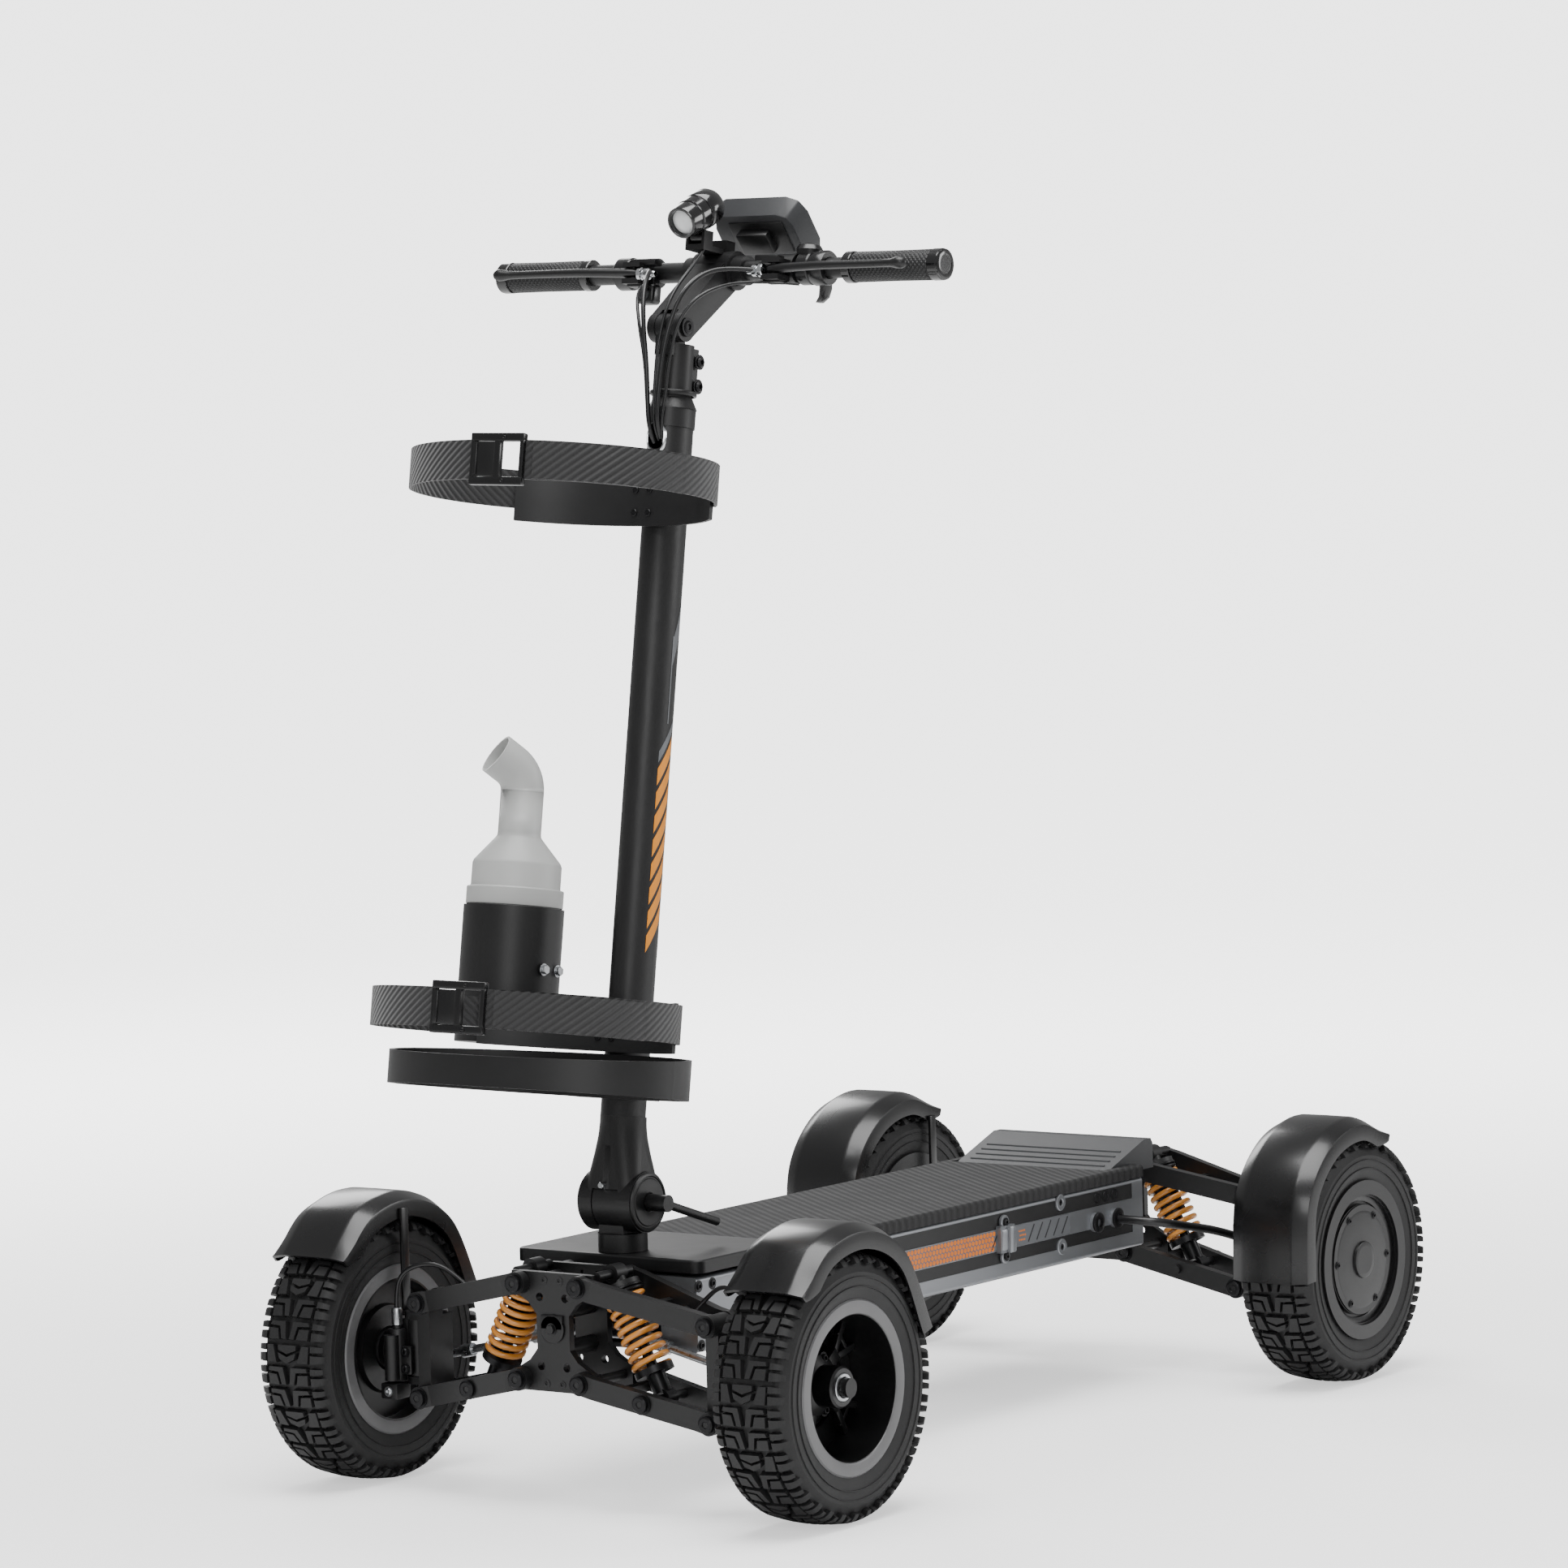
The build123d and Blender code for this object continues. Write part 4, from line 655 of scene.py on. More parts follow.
for name in cornerNames:
    if name.startswith("front"):
        makeRim(name)
    else:
        makeMotorTrim(name)
print("wheels built")


# ---- bag straps: webbing loops with a cam buckle each, and the spare webbing over the left side
strapSettings = {"centre": 186.0, "depth": 288.0, "breadth": 336.0, "thick": 3.0, "wide": 40.0, "levels": (162.0, 717.0),
                 "holder": 127.0, "buckleTurn": 8.0, "buckle": (62.0, 53.0)}


def webbingMaterial():
    # woven polypropylene: matt black, diagonal twill ribs 2.4 mm apart, drawn from the strap's own UV in metres
    made, tree, shader, colour, bump = surface("twillWebbing", ("#0f0f10", "#1a1a1b"), 30, 0.7, 0.05, 0.62)
    strapUv = addNode(tree, "ShaderNodeUVMap", uv_map="strapUv").outputs[0]
    turned = addNode(tree, "ShaderNodeMapping", {"Vector": strapUv, "Rotation": (0, 0, radians(52))}).outputs[0]
    ribs = addNode(tree, "ShaderNodeTexWave", {"Vector": turned, "Scale": 1000 / 3.2 / 6.2832, "Distortion": 0.3})
    ribBump = addNode(tree, "ShaderNodeBump", {"Height": ribs.outputs["Fac"], "Distance": 0.0012, "Strength": 1.0,
                                               "Normal": bump.outputs[0]})
    tree.links.new(ribBump.outputs[0], shader.inputs["Normal"])
    # painted shade: the twill is darker in the grooves between its ribs and lighter on their crests
    ribPaintedShade = blendColours(tree, ribs.outputs["Fac"], "#050506", "#202021")
    tree.links.new(ribPaintedShade, shader.inputs["Base Color"])
    shader.inputs["Sheen Weight"].default_value = 0.25
    return made


def makeBand(name, points, wide, thick, material, body, stands=()):
    # a flat strap along points (column millimetres), its width along the column
    bm = bmesh.new()
    uv = bm.loops.layers.uv.new("strapUv")
    edgeSteps = 4
    columns = []
    run = 0.0
    runs = []
    for number, point in enumerate(points):
        if number:
            run += (Vector(point) - Vector(points[number - 1])).length
        runs.append(run)
        columns.append([bm.verts.new(Vector(point) + Vector((0, 0, wide * (step / edgeSteps - 0.5)))) for step in range(edgeSteps + 1)])
    for number in range(len(columns) - 1):
        for step in range(edgeSteps):
            one, other = columns[number], columns[number + 1]
            face = bm.faces.new((one[step], other[step], other[step + 1], one[step + 1]))
            for loop, (a, b) in zip(face.loops, ((runs[number], step), (runs[number + 1], step), (runs[number + 1], step + 1), (runs[number], step + 1))):
                loop[uv].uv = (a / 1000, b * wide / edgeSteps / 1000)
    bmesh.ops.recalc_face_normals(bm, faces=bm.faces)
    bmesh.ops.solidify(bm, geom=bm.faces[:], thickness=thick)
    return addPiece(name, bm, material, body, columnFrame, stands, sharp=40)


def loopPoint(angle, inset=0.0, up=0.0):
    size = strapSettings
    return (size["centre"] + (size["depth"] / 2 - inset) * cos(angle), (size["breadth"] / 2 - inset) * sin(angle), up)


def makeStraps():
    size = strapSettings
    twill = webbingMaterial()
    for label, low in zip(("lower", "upper"), size["levels"]):
        middle = low + size["wide"] / 2
        share = size["holder"] / size["breadth"] * 2
        last = pi - atan2(share, (1 - share ** 2) ** 0.5)
        turn = radians(size["buckleTurn"])
        gap = size["buckle"][0] / size["breadth"] * 0.97
        # the webbing runs from one end of the cradle to the buckle, and on from it to the other end
        for part, start, end in (("Left", turn + gap, last), ("Right", -last, turn - gap)):
            points = [loopPoint(start + (end - start) * step / 56, 0.4, middle) for step in range(57)]
            stands = ("bag_straps",) if part == "Left" else ()
            makeBand(label + "Strap" + part, points, size["wide"], size["thick"], twill, "column", stands=stands)
        # the webbing's spare length lies over the left side, past the buckle
        points = [loopPoint(turn + gap + 0.06 + 1.05 * step / 30, -2.2 - 1.6 * sin(pi * step / 30) ** 2, middle - 1.5 * step / 30)
                  for step in range(31)]
        makeBand(label + "StrapSpare", points, size["wide"] - 1.5, 2.0, twill, "column")
        spot = Vector(loopPoint(turn, 1.75, middle))
        heading = atan2(size["depth"] * sin(turn), size["breadth"] * cos(turn))
        face = Matrix.Translation(spot) @ Matrix.Rotation(heading, 4, "Z")
        thick, long, high = 9.0, size["buckle"][0], size["buckle"][1]
        bm = bmesh.new()
        for up in (-1, 1):
            slab(bm, (thick, long, 8.4), face @ Matrix.Translation((0, 0, up * (high / 2 - 4.2))), 1.4)
        for along, broad in ((-long / 2 + 2.4, 4.8), (0, 7), (long / 2 - 2.4, 4.8)):
            slab(bm, (thick - 1.2, broad, high - 3), face @ Matrix.Translation((0, along, 0)), 1.2)
        # cam, hinged at the frame's middle, lies over the right half
        cam = face @ Matrix.Translation((2.2, -long / 4, 0)) @ Matrix.Rotation(radians(5), 4, "Z")
        slab(bm, (3.2, 25, high - 18), cam, 1.2)
        slab(bm, (4.4, 4, high - 20), cam @ Matrix.Translation((0.8, -9, 0)), 1.2)
        for up in (-1, 1):
            screwHead(bm, face @ Matrix.Translation((thick / 2 - 0.4, 8, up * (high / 2 - 4.4))) @ Matrix.Rotation(radians(90), 4, "Y"),
                      2.0, 1.2, 1.0)
        addPiece(label + "Buckle", bm, guardAbs, "column", columnFrame)


makeStraps()
print("straps threaded")


# ---- sand bottle: collar, shoulder, neck and a smooth bent spout with an open mouth
bottleSettings = {"at": (22, -152), "turn": -34, "foot": 160.5, "rim": 301.0, "neck": 23.0, "mouth": 20.6, "bend": 32.0, "angle": 58}


def makeBottle():
    size = bottleSettings
    rim, neck = size["rim"], size["neck"]
    bm = bmesh.new()
    lathe(bm, [(0, size["foot"]), (44, size["foot"]), (48.4, size["foot"] + 3), (48.4, rim + 1.2), (51.2, rim + 1.2), (51.6, rim + 2),
               (51.6, rim + 19), (50.8, rim + 20), (48, rim + 20.6), (47.6, rim + 22), (47.4, rim + 45), (46.2, rim + 48.4),
               (25.4, rim + 72.6), (23.4, rim + 75.6), (neck, rim + 79), (neck, rim + 123)], steps=64)
    arc = [(size["bend"] * (1 - cos(turn)), rim + 123 + size["bend"] * sin(turn), turn)
           for turn in (radians(size["angle"]) * step / 10 for step in range(11))]
    last = arc[-1]
    run = [(last[0] + sin(last[2]) * far, last[1] + cos(last[2]) * far, last[2]) for far in (8, 20)]

    def ring(spot, radius):
        return (Matrix.Translation((spot[0], 0, spot[1])) @ Matrix.Rotation(spot[2], 4, "Y"), radius, radius)
    outside = [ring(spot, neck) for spot in arc + run]
    inside = [ring(spot, size["mouth"]) for spot in reversed(arc[4:] + run)]
    loft(bm, outside + inside, sides=64)
    place = columnFrame @ Matrix.Translation((size["at"][0] / 1000, size["at"][1] / 1000, 0)) @ Matrix.Rotation(radians(size["turn"]), 4, "Z")
    addPiece("sandBottle", bm, bottlePoly, "bottle", place, ("bottle",), sharp=28)


makeBottle()
print("bottle blown")


# ---- handlebar: grips, levers, thumb throttle, horn, lamp and display
barSettings = {"half": 290.0, "gripLength": 124.0, "gripRadius": 16.6, "tube": 11.3, "lever": 92.0, "reach": 36.0}


def knurledMaterial():
    # moulded grip rubber with diamond knurling 2 mm apart, drawn round the bar
    made, tree, shader, colour, bump = surface("knurledGrip", ("#101011", "#1b1b1c"), 20, 0.8, 0.05, 0.55)
    place = addNode(tree, "ShaderNodeUVMap", uv_map="gripUv").outputs[0]
    height = None
    for turn in (45, -45):
        turned = addNode(tree, "ShaderNodeMapping", {"Vector": place, "Rotation": (0, 0, radians(turn))}).outputs[0]
        wave = addNode(tree, "ShaderNodeTexWave", {"Vector": turned, "Scale": 1000 / 1.9 / 6.2832}).outputs["Fac"]
        height = wave if height is None else addNode(tree, "ShaderNodeMath", {0: height, 1: wave}, operation="MULTIPLY").outputs[0]
    knurl = addNode(tree, "ShaderNodeBump", {"Height": height, "Distance": 0.0008, "Strength": 1.0, "Normal": bump.outputs[0]})
    tree.links.new(knurl.outputs[0], shader.inputs["Normal"])
    # painted shade: the knurl is darker in its grooves and lighter on the diamonds' tops
    tree.links.new(blendColours(tree, height, "#0a0a0b", "#2c2c2e"), shader.inputs["Base Color"])
    return made


def makeGrips():
    knurled = knurledMaterial()
    size = barSettings
    for label, side in (("Left", 1), ("Right", -1)):
        place = columnFrame @ Matrix.Translation(Vector((barAhead, side * (size["half"] - size["gripLength"]), barUp)) / 1000) @ Matrix.Rotation(radians(-90 * side), 4, "X")
        long = size["gripLength"]
        bm = bmesh.new()
        lathe(bm, [(size["tube"], 11), (size["gripRadius"] - 1.5, 11), (size["gripRadius"] - 0.4, 13), (size["gripRadius"] - 0.6, long / 2),
                   (size["gripRadius"] - 0.2, long - 17), (size["gripRadius"] - 1.2, long - 15), (size["tube"], long - 15)], steps=40, closed=True)
        uv = bm.loops.layers.uv.new("gripUv")
        for face in bm.faces:
            middle = face.calc_center_median()
            start = atan2(middle.y, middle.x)
            for loop in face.loops:
                turn = atan2(loop.vert.co.y, loop.vert.co.x)
                turn += 2 * pi if turn < start - pi else (-2 * pi if turn > start + pi else 0)
                loop[uv].uv = (turn * size["gripRadius"] / 1000, loop.vert.co.z / 1000)
        addPiece("grip" + label, bm, knurled, "stem", place, ("grips",))
        bm = bmesh.new()
        for low, high in ((0.5, 10.5), (long - 14.5, long - 2.5)):
            lathe(bm, [(size["tube"], low), (size["gripRadius"] - 0.6, low), (size["gripRadius"] + 0.2, low + 0.9),
                       (size["gripRadius"] + 0.2, high - 0.9), (size["gripRadius"] - 0.6, high), (size["tube"], high)], steps=40, closed=True)
        lathe(bm, [(0, long - 2.5), (size["gripRadius"] - 0.6, long - 2.5), (size["gripRadius"] - 0.4, long - 1.2),
                   (size["gripRadius"] - 2.4, long - 0.2), (11, long), (10, long - 1.0), (0, long - 1.0)], steps=40)
        addPiece("gripRings" + label, bm, glossBarrel, "stem", place)


def makeLevers():
    size = barSettings
    for label, side in (("left", 1), ("right", -1)):
        pivot = Vector((barAhead + size["reach"] - 7, side * size["lever"], barUp - 4))

        def at(out, ahead, up=0.0):
            return Matrix.Translation(pivot + Vector((ahead, side * out, up))) @ Matrix.Rotation(radians(-90 * side), 4, "X")
        bm = bmesh.new()
        loft(bm, [(at(-9, -1), 4, 4.5), (at(-3, 0), 7, 5), (at(6, 0.5), 8, 5.2), (at(18, 4), 6.8, 5), (at(34, 8), 5.6, 4.8),
                  (at(60, 12), 5.4, 4.6), (at(90, 12.6), 5.6, 4.4), (at(120, 12.4), 5.2, 4.2), (at(146, 12.2), 5.0, 4.2),
                  (at(158, 12.8), 5.6, 4.6), (at(166, 14), 7.2, 6.2), (at(171, 14.2), 7.6, 6.6), (at(175, 14), 5.4, 4.8), (at(177, 14), 2.4, 2.2)], sides=20)
        addPiece("leverBlade_" + label, bm, satinCast, "brake_lever_" + label, columnFrame, ("brake_lever_" + label,), sharp=50)
        # clamp body, barrel adjuster and its lock nut on the bar
        bm = bmesh.new()
        slab(bm, (17, 23, 9), Matrix.Translation((barAhead + 21, side * (size["lever"] - 3), barUp - 14)), 1.6)
        slab(bm, (14, 30, 7), Matrix.Translation((barAhead + 22, side * (size["lever"] - 12), barUp + 8)), 1.6)
        addPiece("leverBody_" + label, bm, satinCast, "stem", columnFrame)
        bm = bmesh.new()
        outward = Matrix.Translation((barAhead + 33, side * (size["lever"] - 14), barUp - 6)) @ Matrix.Rotation(radians(90 * side), 4, "X")
        lathe(bm, [(2.6, -4), (6.2, -4), (7.2, -3), (7.2, 1), (6.2, 2), (4.8, 2.4), (4.8, 4), (6.4, 4.6), (6.4, 9), (5.4, 10),
                   (3.8, 10.4), (3.8, 16), (3.0, 18), (2.6, 18)], steps=20, place=outward, closed=True)
        addPiece("cableAdjuster_" + label, bm, chromeSteel, "stem", columnFrame)


def makeThrottle():
    bm = bmesh.new()
    place = Matrix.Translation((barAhead, 134, barUp)) @ Matrix.Rotation(radians(-90), 4, "X")
    lathe(bm, [(11.8, -9), (17.6, -9), (18.6, -7.4), (18.6, 7.4), (17.6, 9), (11.8, 9)], steps=40, place=place, closed=True)
    loft(bm, [((barAhead - 6, 134, barUp - 10), 8, 7), ((barAhead - 12, 131, barUp - 20), 7.4, 6.4), ((barAhead - 17, 126, barUp - 28), 6.4, 5.6),
              ((barAhead - 21, 118, barUp - 33), 5, 4.2)], sides=16)
    addPiece("thumbThrottle", bm, guardAbs, "throttle", columnFrame, ("throttle",))
    # throttle housing and switch pod inboard of it, horn pod on the other side
    bm = bmesh.new()
    for along, low, high in ((1, 108.5, 123.5), (-1, 112, 130)):
        lathe(bm, [(11.3, low), (16.4, low), (17.6, low + 1.4), (17.6, high - 1.4), (16.4, high), (11.3, high)], steps=36,
              place=Matrix.Translation((barAhead, 0, barUp)) @ Matrix.Rotation(radians(-90 * along), 4, "X"), closed=True)
    loft(bm, [((barAhead - 2, 114, barUp + 14), 13, 14), ((barAhead - 2, 114, barUp + 20), 14, 15), ((barAhead - 3, 113, barUp + 25), 11, 12),
              ((barAhead - 4, 112, barUp + 27), 5, 6)], sides=28)
    slab(bm, (17, 22, 22), Matrix.Translation((barAhead + 15, -80, barUp - 25)), 4, 3)
    slab(bm, (11, 15, 13), Matrix.Translation((barAhead + 12, -80, barUp - 13)), 2, 2)
    addPiece("switchPods", bm, guardAbs, "stem", columnFrame)
    bm = bmesh.new()
    lathe(bm, [(0, 0), (6.2, 0), (6.2, 1.4), (5.4, 2.2), (0, 2.4)], steps=24,
          place=Matrix.Translation((barAhead + 23.4, -80, barUp - 26)) @ Matrix.Rotation(radians(90), 4, "Y"))
    addPiece("hornButton", bm, pebbledAbs, "stem", columnFrame)


def makeLamp():
    pivot = jointAt["headlight_tilt"]
    place = Matrix.Translation((pivot.x, 0, pivot.z)) @ Matrix.Translation((0, 0, 0.027))
    bm = bmesh.new()
    level = Matrix.Rotation(radians(90 + 20), 4, "Y")
    lathe(bm, [(0, -27), (11, -26.4), (17, -23.8), (19.6, -19), (20.4, -10), (20.4, 1), (19.8, 2), (18.9, 2.4), (18.9, 4.4),
               (19.8, 5), (19.2, 16), (18.4, 17), (17.6, 17.4), (17.6, 19.2), (18.4, 19.8), (17.8, 31), (17.2, 34), (16.4, 34.8),
               (14.6, 34.8), (13.8, 33.4), (13.0, 22), (0, 16)], steps=56, place=level)
    slab(bm, (9, 13, 22), Matrix.Translation((0, 0, -20)), 1.6)
    lathe(bm, [(2.6, -8), (6.8, -8), (6.8, 8), (2.6, 8)], steps=28, place=Matrix.Translation((0, 0, -27)) @ toY, closed=True)
    addPiece("lampBarrel", bm, glossBarrel, "headlight", place, ("headlight",))
    bm = bmesh.new()
    lathe(bm, [(0, 32.4), (7, 32.0), (11, 31.0), (13.4, 29.4), (13.4, 28), (0, 28)], steps=48, place=level)
    # frosted polycarbonate lens
    lens, tree, shader, colour, bump = surface("frostedLens", ("#cfd1d2", "#f2f3f3"), 9, 0.8, 0.02, 0.16, ior=1.58, coat=0.8)
    addPiece("lampLens", bm, lens, "headlight", place)


def makeDisplay():
    # faceted case: an outer shell with cut corners and a recessed back, tilted towards the rider
    place = columnFrame @ Matrix.Translation(Vector((barAhead - 26, 30, barUp + 38)) / 1000) @ Matrix.Rotation(radians(-44), 4, "Y")
    bm = bmesh.new()
    made = bmesh.ops.create_cube(bm, size=1, matrix=Matrix.Translation((0, 0, 12)) @ Matrix.Diagonal((76, 118, 23, 1)))["verts"]
    upright = [e for e in {x for v in made for x in v.link_edges} if abs((e.verts[0].co - e.verts[1].co).z) > 5]
    bmesh.ops.bevel(bm, geom=upright, offset=20, segments=2, profile=0.5, affect="EDGES", material=-1)
    for v in bm.verts:
        if v.co.z < 5:
            v.co.x *= 0.8
            v.co.y *= 0.86
    rim = [e for e in bm.edges if len(e.link_faces) == 2 and e.calc_face_angle(0) > 0.5]
    bmesh.ops.bevel(bm, geom=rim, offset=1.6, segments=2, profile=0.5, affect="EDGES", material=-1)
    addPiece("displayCase", bm, pebbledAbs, "stem", place, ("display_case",), sharp=22)
    bm = bmesh.new()
    slab(bm, (50, 88, 1.6), Matrix.Translation((0, 0, 23.6)), 0.7)
    screen = surface("screenGlass", ("#050506", "#08080a"), 60, 2.0, 0.0, 0.08, coat=1.0)[0]
    addPiece("displayScreen", bm, screen, "stem", place)
    bm = bmesh.new()
    slab(bm, (26, 40, 12), Matrix.Translation((0, 0, -5)), 2.0)
    slab(bm, (40, 70, 3), Matrix.Translation((2, 4, 0.2)), 1.2)
    addPiece("displayFoot", bm, satinCast, "stem", place)


makeGrips()
makeLevers()
makeThrottle()
makeLamp()
makeDisplay()
print("handlebar fitted")


# ---- suspension trim: bolt caps, calipers and their hoses
def boltCap(bm, place, radius=8.9):
    # socket cap that covers a plain bolt head, with its washer
    lathe(bm, [(3.2, 4.62), (3.2, 5.2), (3.8, 5.8), (radius - 1.8, 5.8), (radius, 4.6), (radius, 1.0), (radius + 2.4, 1.0),
               (radius + 2.4, 0.1), (radius - 0.35, 0.1), (radius - 0.35, 4.62)], steps=24, place=place, closed=True)


def makeBoltCaps():
    for name in cornerNames:
        ahead = 1 if name.startswith("front") else -1
        axleX = jointAt["wheel_spin_" + name].x * 1000
        for label, body, joint, ends in (
                ("inner", "chassis", "arm_swing_", (-22.5, 73.5)), ("innerUpper", "chassis", "upper_arm_swing_", (-22.5, 73.5)),
                ("outer", "upright_" + name, "upright_swing_", (-19.5, 53.0))):
            spot = jointAt[joint + name] * 1000
            bm = bmesh.new()
            for end, way in zip(ends, (-1, 1)):
                turn = Matrix.Rotation(radians(90 * way * ahead), 4, "Y")
                boltCap(bm, Matrix.Translation((axleX + ahead * end, spot.y, spot.z)) @ turn)
                if label == "outer":
                    low = 7.0 if way < 0 else end
                    boltCap(bm, Matrix.Translation((axleX + ahead * low, spot.y, spot.z + 100)) @ turn)
            addPiece(label + "Bolts_" + name, bm, blackScrew, body)
        # the damper's lower bolt, on the arm's front leg
        reach = (abs(jointAt["arm_swing_" + name].y) * 1000, abs(jointAt["upright_swing_" + name].y) * 1000)
        share = (112.0 - reach[0]) / (reach[1] - reach[0])
        height = jointAt["arm_swing_" + name].z * 1000 + share * (jointAt["upright_swing_" + name].z - jointAt["arm_swing_" + name].z) * 1000
        leg = 73.5 + (53.0 - 73.5) * share
        bm = bmesh.new()
        side = 1 if "left" in name else -1
        boltCap(bm, Matrix.Translation((axleX + ahead * leg, side * 112, height)) @ Matrix.Rotation(radians(90 * ahead), 4, "Y"))
        addPiece("damperBolt_" + name, bm, blackScrew, "lower_arm_" + name)
        # the spring's black seat collar and preload ring
        seat = pointAt(jointAt["damper_swing_" + name], jointAxis["damper_slide_" + name])
        bm = bmesh.new()
        for low in (17.2, 21.0):
            lathe(bm, [(13.2, low), (21.4, low), (22.2, low + 0.8), (22.2, low + 2.4), (21.4, low + 3.2), (13.2, low + 3.2)],
                  steps=36, closed=True)
        addPiece("springCollar_" + name, bm, blackScrew, "damper_body_" + name, seat)


def makeCalipers():
    for name in ("front_left", "front_right"):
        side = 1 if "left" in name else -1
        place = Matrix.Translation(jointAt["wheel_spin_" + name]) @ Matrix.Diagonal((1, side, 1, 1))
        bm = bmesh.new()
        upright = Matrix.Translation((30, -62, 0))
        lathe(bm, [(0, -28), (8.4, -28), (9.2, -27), (9.2, 26), (8.2, 27.6), (5, 28), (5, 31), (0, 31)], steps=28, place=upright)
        slab(bm, (24, 22, 17), Matrix.Translation((33, -60, -37.5)), 2.0)
        slab(bm, (5, 15, 30), Matrix.Translation((31.5, -75, -5)), 1.4)
        slab(bm, (26, 6, 12), Matrix.Translation((22, -59, -12)), 1.2)
        addPiece("brakeCaliper_" + name, bm, powderCoat, "knuckle_" + name, place)
        bm = bmesh.new()
        for up in (-14, 4):
            screwHead(bm, Matrix.Translation((34, -75, up)) @ Matrix.Rotation(radians(90), 4, "Y"), 4.0, 3.0, 2.0)
        addPiece("caliperScrews_" + name, bm, blackScrew, "knuckle_" + name, place)
        bm = bmesh.new()
        lathe(bm, [(2.6, 31), (4.4, 31), (5.8, 32), (5.8, 48), (4.8, 50), (2.6, 50)], steps=20, place=upright, closed=True)
        screwHead(bm, Matrix.Translation((45, -60, -37.5)) @ Matrix.Rotation(radians(90), 4, "Y"), 3.8, 2.4, 1.8)
        addPiece("hoseFitting_" + name, bm, zincBolt, "knuckle_" + name, place)
        route = [(30, -62, 46), (30, -62, 66), (29, -68, 86), (24, -88, 97), (17, -112, 97), (12, -134, 82), (10, -148, 70)]
        points = [place @ Vector((x / 1000, y / 1000, z / 1000)) for x, y, z in route]
        hose = cableMesh("brakeHose_" + name, points, 0.005, cableJacket, "")
        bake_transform(hose)


makeBoltCaps()
makeCalipers()
print("suspension trimmed")


# ---- deck sides: pattern strips, latch, port rings
deckSettings = {"strip": (188.6, 211.0), "dotsFrom": -102.0, "dotsTo": 370.0, "slashesFrom": -244.0, "dot": 2.75, "pitch": 6.4}
# printed film on the strip: orange ink dots over silver grey
orangeInk = surface("orangeInk", ("#c8660c", "#d47412"), 20, 0.6, 0.0, 0.45)[0]
greyFilm = surface("silverGreyFilm", ("#606265", "#6c6e71"), 40, 0.6, 0.01, 0.4, metallic=0.3)[0]
blackInk = surface("blackInk", ("#101011", "#18181a"), 20, 0.6, 0.0, 0.5)[0]


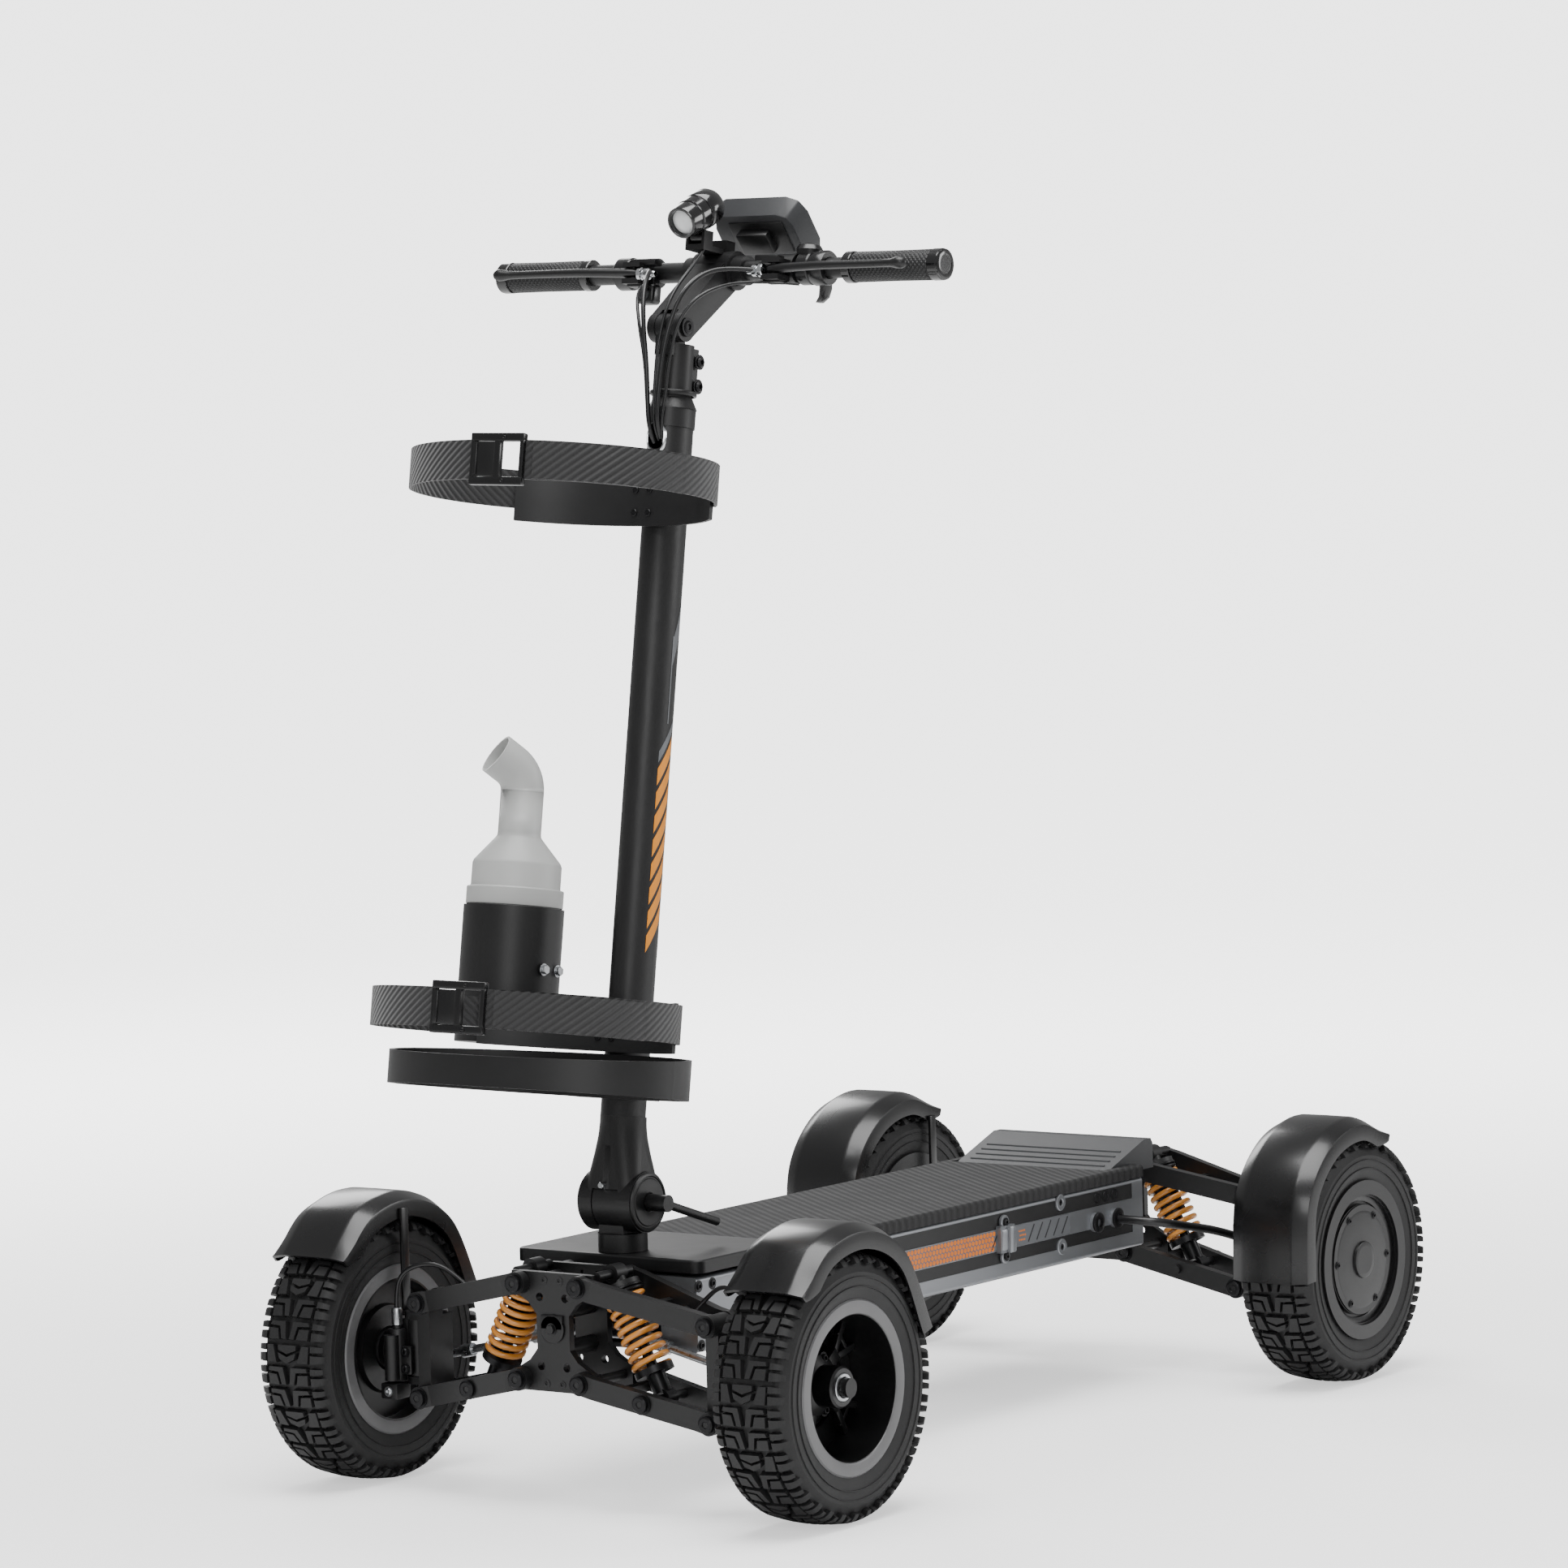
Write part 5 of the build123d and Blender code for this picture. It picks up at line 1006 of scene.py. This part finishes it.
def makeDeckSides():
    size = deckSettings
    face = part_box("deck_mat")[1][1] * 1000 - 1.0
    low, high = size["strip"]
    film, dots, slashes, latch, screws, inlay = (bmesh.new() for part in range(6))
    for side in (-1, 1):
        def at(x, z, out=0.0):
            return Matrix.Translation((x + wheelMiddle, side * (face + out), z))
        slab(film, (size["dotsTo"] - size["slashesFrom"], 0.7, high - low), at((size["dotsTo"] + size["slashesFrom"]) / 2, (low + high) / 2, 0.2), 0.2, 1)
        turned = Matrix.Rotation(radians(-90 * side), 4, "X")
        rows = 4
        for row in range(rows):
            up = low + 2.9 + row * (high - low - 5.8) / (rows - 1)
            count = int((size["dotsTo"] - size["dotsFrom"] - 8) / size["pitch"])
            for number in range(count):
                x = size["dotsTo"] - 4 - (number + 0.5 * (row % 2)) * size["pitch"]
                bmesh.ops.create_cone(dots, cap_ends=True, segments=10, radius1=size["dot"], radius2=size["dot"] - 0.1, depth=0.3,
                                      matrix=at(x, up, 0.6) @ turned)
        for number in range(4):
            for row in range(3):
                bmesh.ops.create_cone(dots, cap_ends=True, segments=10, radius1=1.2, radius2=1.1, depth=0.3,
                                      matrix=at(-142 - number * 3.4 - 1.6 * (row % 2), low + 6 + row * 5, 0.6) @ turned)
        for number in range(5):
            slant = at(-166 - number * 17, (low + high) / 2, 0.6) @ Matrix.Rotation(radians(-35), 4, "Y")
            slab(slashes, (1.6, 0.4, 22), slant)
        slab(slashes, (1.6, 0.4, 22), at(-93, (low + high) / 2, 0.6) @ Matrix.Rotation(radians(-35), 4, "Y"))
        # painted channels above and below the printed strip
        for bottom, top in ((173.6, 187.4), (212.1, 228.9)):
            slab(inlay, (747, 0.8, top - bottom), at(-2, (bottom + top) / 2, -0.8))
        # latch plate with an ear above and below it
        slab(latch, (26, 4, 24), at(-111, 200, 6), 2, 2)
        slab(latch, (12, 8, 30), at(-115, 200, 7.5), 2.4, 2)
        for up in (-19, 19):
            lathe(latch, [(0, 0), (8, 0), (8, 2.6), (7, 3.6), (0, 3.6)], steps=24, place=at(-110, 200 + up, 0.4) @ turned)
            screwHead(screws, at(-110, 200 + up, 4.0) @ turned, 3.4, 2.4, 1.7)
        for x, z in ((-226, 226), (-227, 176)):
            lathe(latch, [(3.6, 0), (8.6, 0), (9.2, 0.8), (9.2, 2.6), (8.4, 3.4), (4.4, 3.4), (3.6, 2.6)], steps=28, place=at(x, z, -1.2) @ turned, closed=True)
            screwHead(screws, at(x, z, -0.8) @ turned, 3.2, 2.0, 1.7)
        for x in (-304, -322, -340):
            lathe(screws, [(3.4, 0), (6.2, 0), (6.6, 0.6), (6.2, 1.6), (3.9, 1.6), (3.4, 1.0)], steps=24, place=at(x, 221, -1.2) @ turned, closed=True)
        for x, z in ((458, 228), (434, 228), (456, 166), (432, 166)):
            screwHead(screws, at(x, z - 3, -0.6) @ turned, 4.4, 2.2, 2.2)
        # the grommets' rubber faces
        for x in (-297, -338):
            lathe(screws, [(5.4, 3.9), (10.6, 3.9), (11.6, 4.6), (11.4, 6.4), (9, 7.6), (5.4, 7.6)], steps=32, place=at(x, 194.5) @ turned, closed=True)
    addPiece("patternFilm", film, greyFilm, "chassis")
    addPiece("patternDots", dots, orangeInk, "chassis")
    addPiece("patternSlashes", slashes, blackInk, "chassis")
    addPiece("paintedChannels", inlay, powderCoat, "chassis")
    addPiece("sideLatches", latch, anodised, "chassis")
    addPiece("sideScrews", screws, blackScrew, "chassis")


makeDeckSides()


# ---- front and rear plates: hex boss with its bolt, and the plate's small screws
def makePlateTrim():
    bm = bmesh.new()
    for ahead in (1, -1):
        x = jointAt["wheel_spin_front_left" if ahead > 0 else "wheel_spin_rear_left"].x * 1000 + ahead * 62
        turn = Matrix.Rotation(radians(90 * ahead), 4, "Y")
        lathe(bm, [(0, 0), (14, 0), (15, 1), (15, 2.2), (14, 3), (0, 3)], steps=40, place=Matrix.Translation((x, 0, 187)) @ turn)
        slab(bm, (3, 28, 15), Matrix.Translation((x + ahead * 1.5, 0, 194)), 1.0)
        hexHead(bm, Matrix.Translation((x + ahead * 2.6, 0, 187)) @ turn, 9, 3.4)
        for up in (129.4, 237.4):
            for across in (-10, 10):
                screwHead(bm, Matrix.Translation((x - ahead * 0.4, across, up)) @ turn, 3.0, 1.6, 1.5)
    addPiece("plateTrim", bm, powderCoat, "chassis")


makePlateTrim()
print("deck dressed")


# ---- column: fold discs, latch pin, stripe decal, collar seam, port rim, stem screws, carrier bolts
def makeColumnTrim():
    bm = bmesh.new()
    for side in (-1, 1):
        turned = Matrix.Rotation(radians(-90 * side), 4, "X")
        lathe(bm, [(10, 0), (31, 0), (31, 0.8), (30, 2.0), (27.6, 2.6), (26.6, 1.6), (25.4, 1.6), (24.4, 2.6), (11, 3.0), (10, 2.6)],
              steps=64, place=Matrix.Translation((0, side * 33.6, 0)) @ turned, closed=True)
    # seam rib down the yoke's front and the collar's bead
    slab(bm, (3, 9, 46), Matrix.Translation((29.5, 0, 34)), 1.2)
    lathe(bm, [(22, 846), (24.2, 846), (24.8, 847), (24.8, 850), (24, 851), (22, 851)], steps=56, place=Matrix.Translation((8, 0, 0)), closed=True)
    addPiece("foldDiscs", bm, satinCast, "column", columnFrame)
    bm = bmesh.new()
    lathe(bm, [(0, 0), (3.6, 0), (3.6, 9), (2.8, 10), (0, 10)], steps=20,
          place=Matrix.Translation((27, -2, 14)) @ Matrix.Rotation(radians(90), 4, "Y"))
    # oval rim of the cable port
    port = Matrix.Translation((8 + 24.6, 0, portUp)) @ Matrix.Rotation(radians(90), 4, "Y") @ Matrix.Diagonal((1.32, 0.82, 1, 1))
    lathe(bm, [(12.2, -3), (14.2, -3), (15.0, -1.4), (14.4, 1.2), (13.2, 1.9), (12.2, 1.2)], steps=48, place=port, closed=True)
    addPiece("portRim", bm, chromeSteel, "column", columnFrame)
    bm = bmesh.new()
    for up in (859, 885):
        screwHead(bm, Matrix.Translation((-15, 14, up)) @ Matrix.Rotation(radians(-90), 4, "X"), 5.6, 4.0, 2.6)
        screwHead(bm, Matrix.Translation((-15, -14, up)) @ Matrix.Rotation(radians(90), 4, "X"), 5.6, 4.0, 2.6)
    for side in (-1, 1):
        screwHead(bm, Matrix.Translation((20.8, side * 22, 917)) @ Matrix.Rotation(radians(-90 * side), 4, "X"), 7.0, 2.6, 3.4)
    for low in (153.0, 703.5):
        for across in (-9, 9):
            for up in (14, 38):
                hexHead(bm, Matrix.Translation((47.5, across, low + up)) @ Matrix.Rotation(radians(90), 4, "Y"), 7, 3)
    addPiece("columnScrews", bm, blackScrew, "column", columnFrame)
    bm = bmesh.new()
    for across in (-34, 34):
        hexHead(bm, Matrix.Translation((40.5, across, 124)) @ Matrix.Rotation(radians(90), 4, "Y"), 10, 4)
    for across in (-12, 12):
        hexHead(bm, Matrix.Translation((22 + across, -152 + 54, 236)) @ Matrix.Rotation(radians(-90), 4, "X"), 9, 4)
    addPiece("carrierBolts", bm, zincBolt, "column", columnFrame)


def wrapOnTube(bm, low, high, across, slant=0.0, rows=3):
    # a printed mark on the tube's left side: across is (from, to) in degrees round it, ahead positive
    grid = bmesh.ops.create_grid(bm, x_segments=8, y_segments=rows, size=0.5)["verts"]
    for v in grid:
        turn = radians(across[0] + (across[1] - across[0]) * (v.co.x + 0.5))
        up = low + (high - low) * (v.co.y + 0.5) + slant * (v.co.x + 0.5)
        v.co = (8 + 26.25 * sin(turn), 22.75 * cos(turn), up)


def makeDecal():
    orange, grey = bmesh.new(), bmesh.new()
    # slanted bars that sit high towards the back of the tube, a grey tip over them, a thin line and a wedge
    wrapOnTube(grey, 598, 630, (-30, 0), -40)
    wrapOnTube(grey, 500, 592, (-2, 2))
    wrapOnTube(grey, 494, 506, (-26, 22), -36)
    for number in range(8):
        wrapOnTube(orange, 488 - number * 25, 470 - number * 25, (-26, 22), -36)
    amber = surface("amberInk", ("#d98204", "#e08c08"), 20, 0.6, 0.0, 0.4)[0]
    addPiece("columnDecalOrange", orange, amber, "column", columnFrame)
    addPiece("columnDecalGrey", grey, greyFilm, "column", columnFrame)


makeColumnTrim()
makeDecal()
print("column trimmed")


# ---- finishes of the pieces carried over from the frame
finishOf = {"deck_housing": anodised, "deck_mat": matRubber, "kick_plate": pebbledAbs, "bottle": bottlePoly,
            "display_case": pebbledAbs, "headlight": glossBarrel, "throttle": guardAbs, "grips": tyreRubber,
            "bag_straps": tyreRubber, "steering_rack": zincBolt}
for name, node in cadNodes.items():
    if name.startswith("mudguard"):
        giveMaterial(node, guardAbs)
    elif name.startswith("tie_rod"):
        giveMaterial(node, zincBolt)
    elif name.startswith("damper_rod"):
        giveMaterial(node, blackScrew)
    elif name.startswith(("rim", "hub_motor")):
        giveMaterial(node, satinCast)
    else:
        giveMaterial(node, finishOf.get(name, powderCoat))
print("frame finished")

bpy.context.view_layer.update()
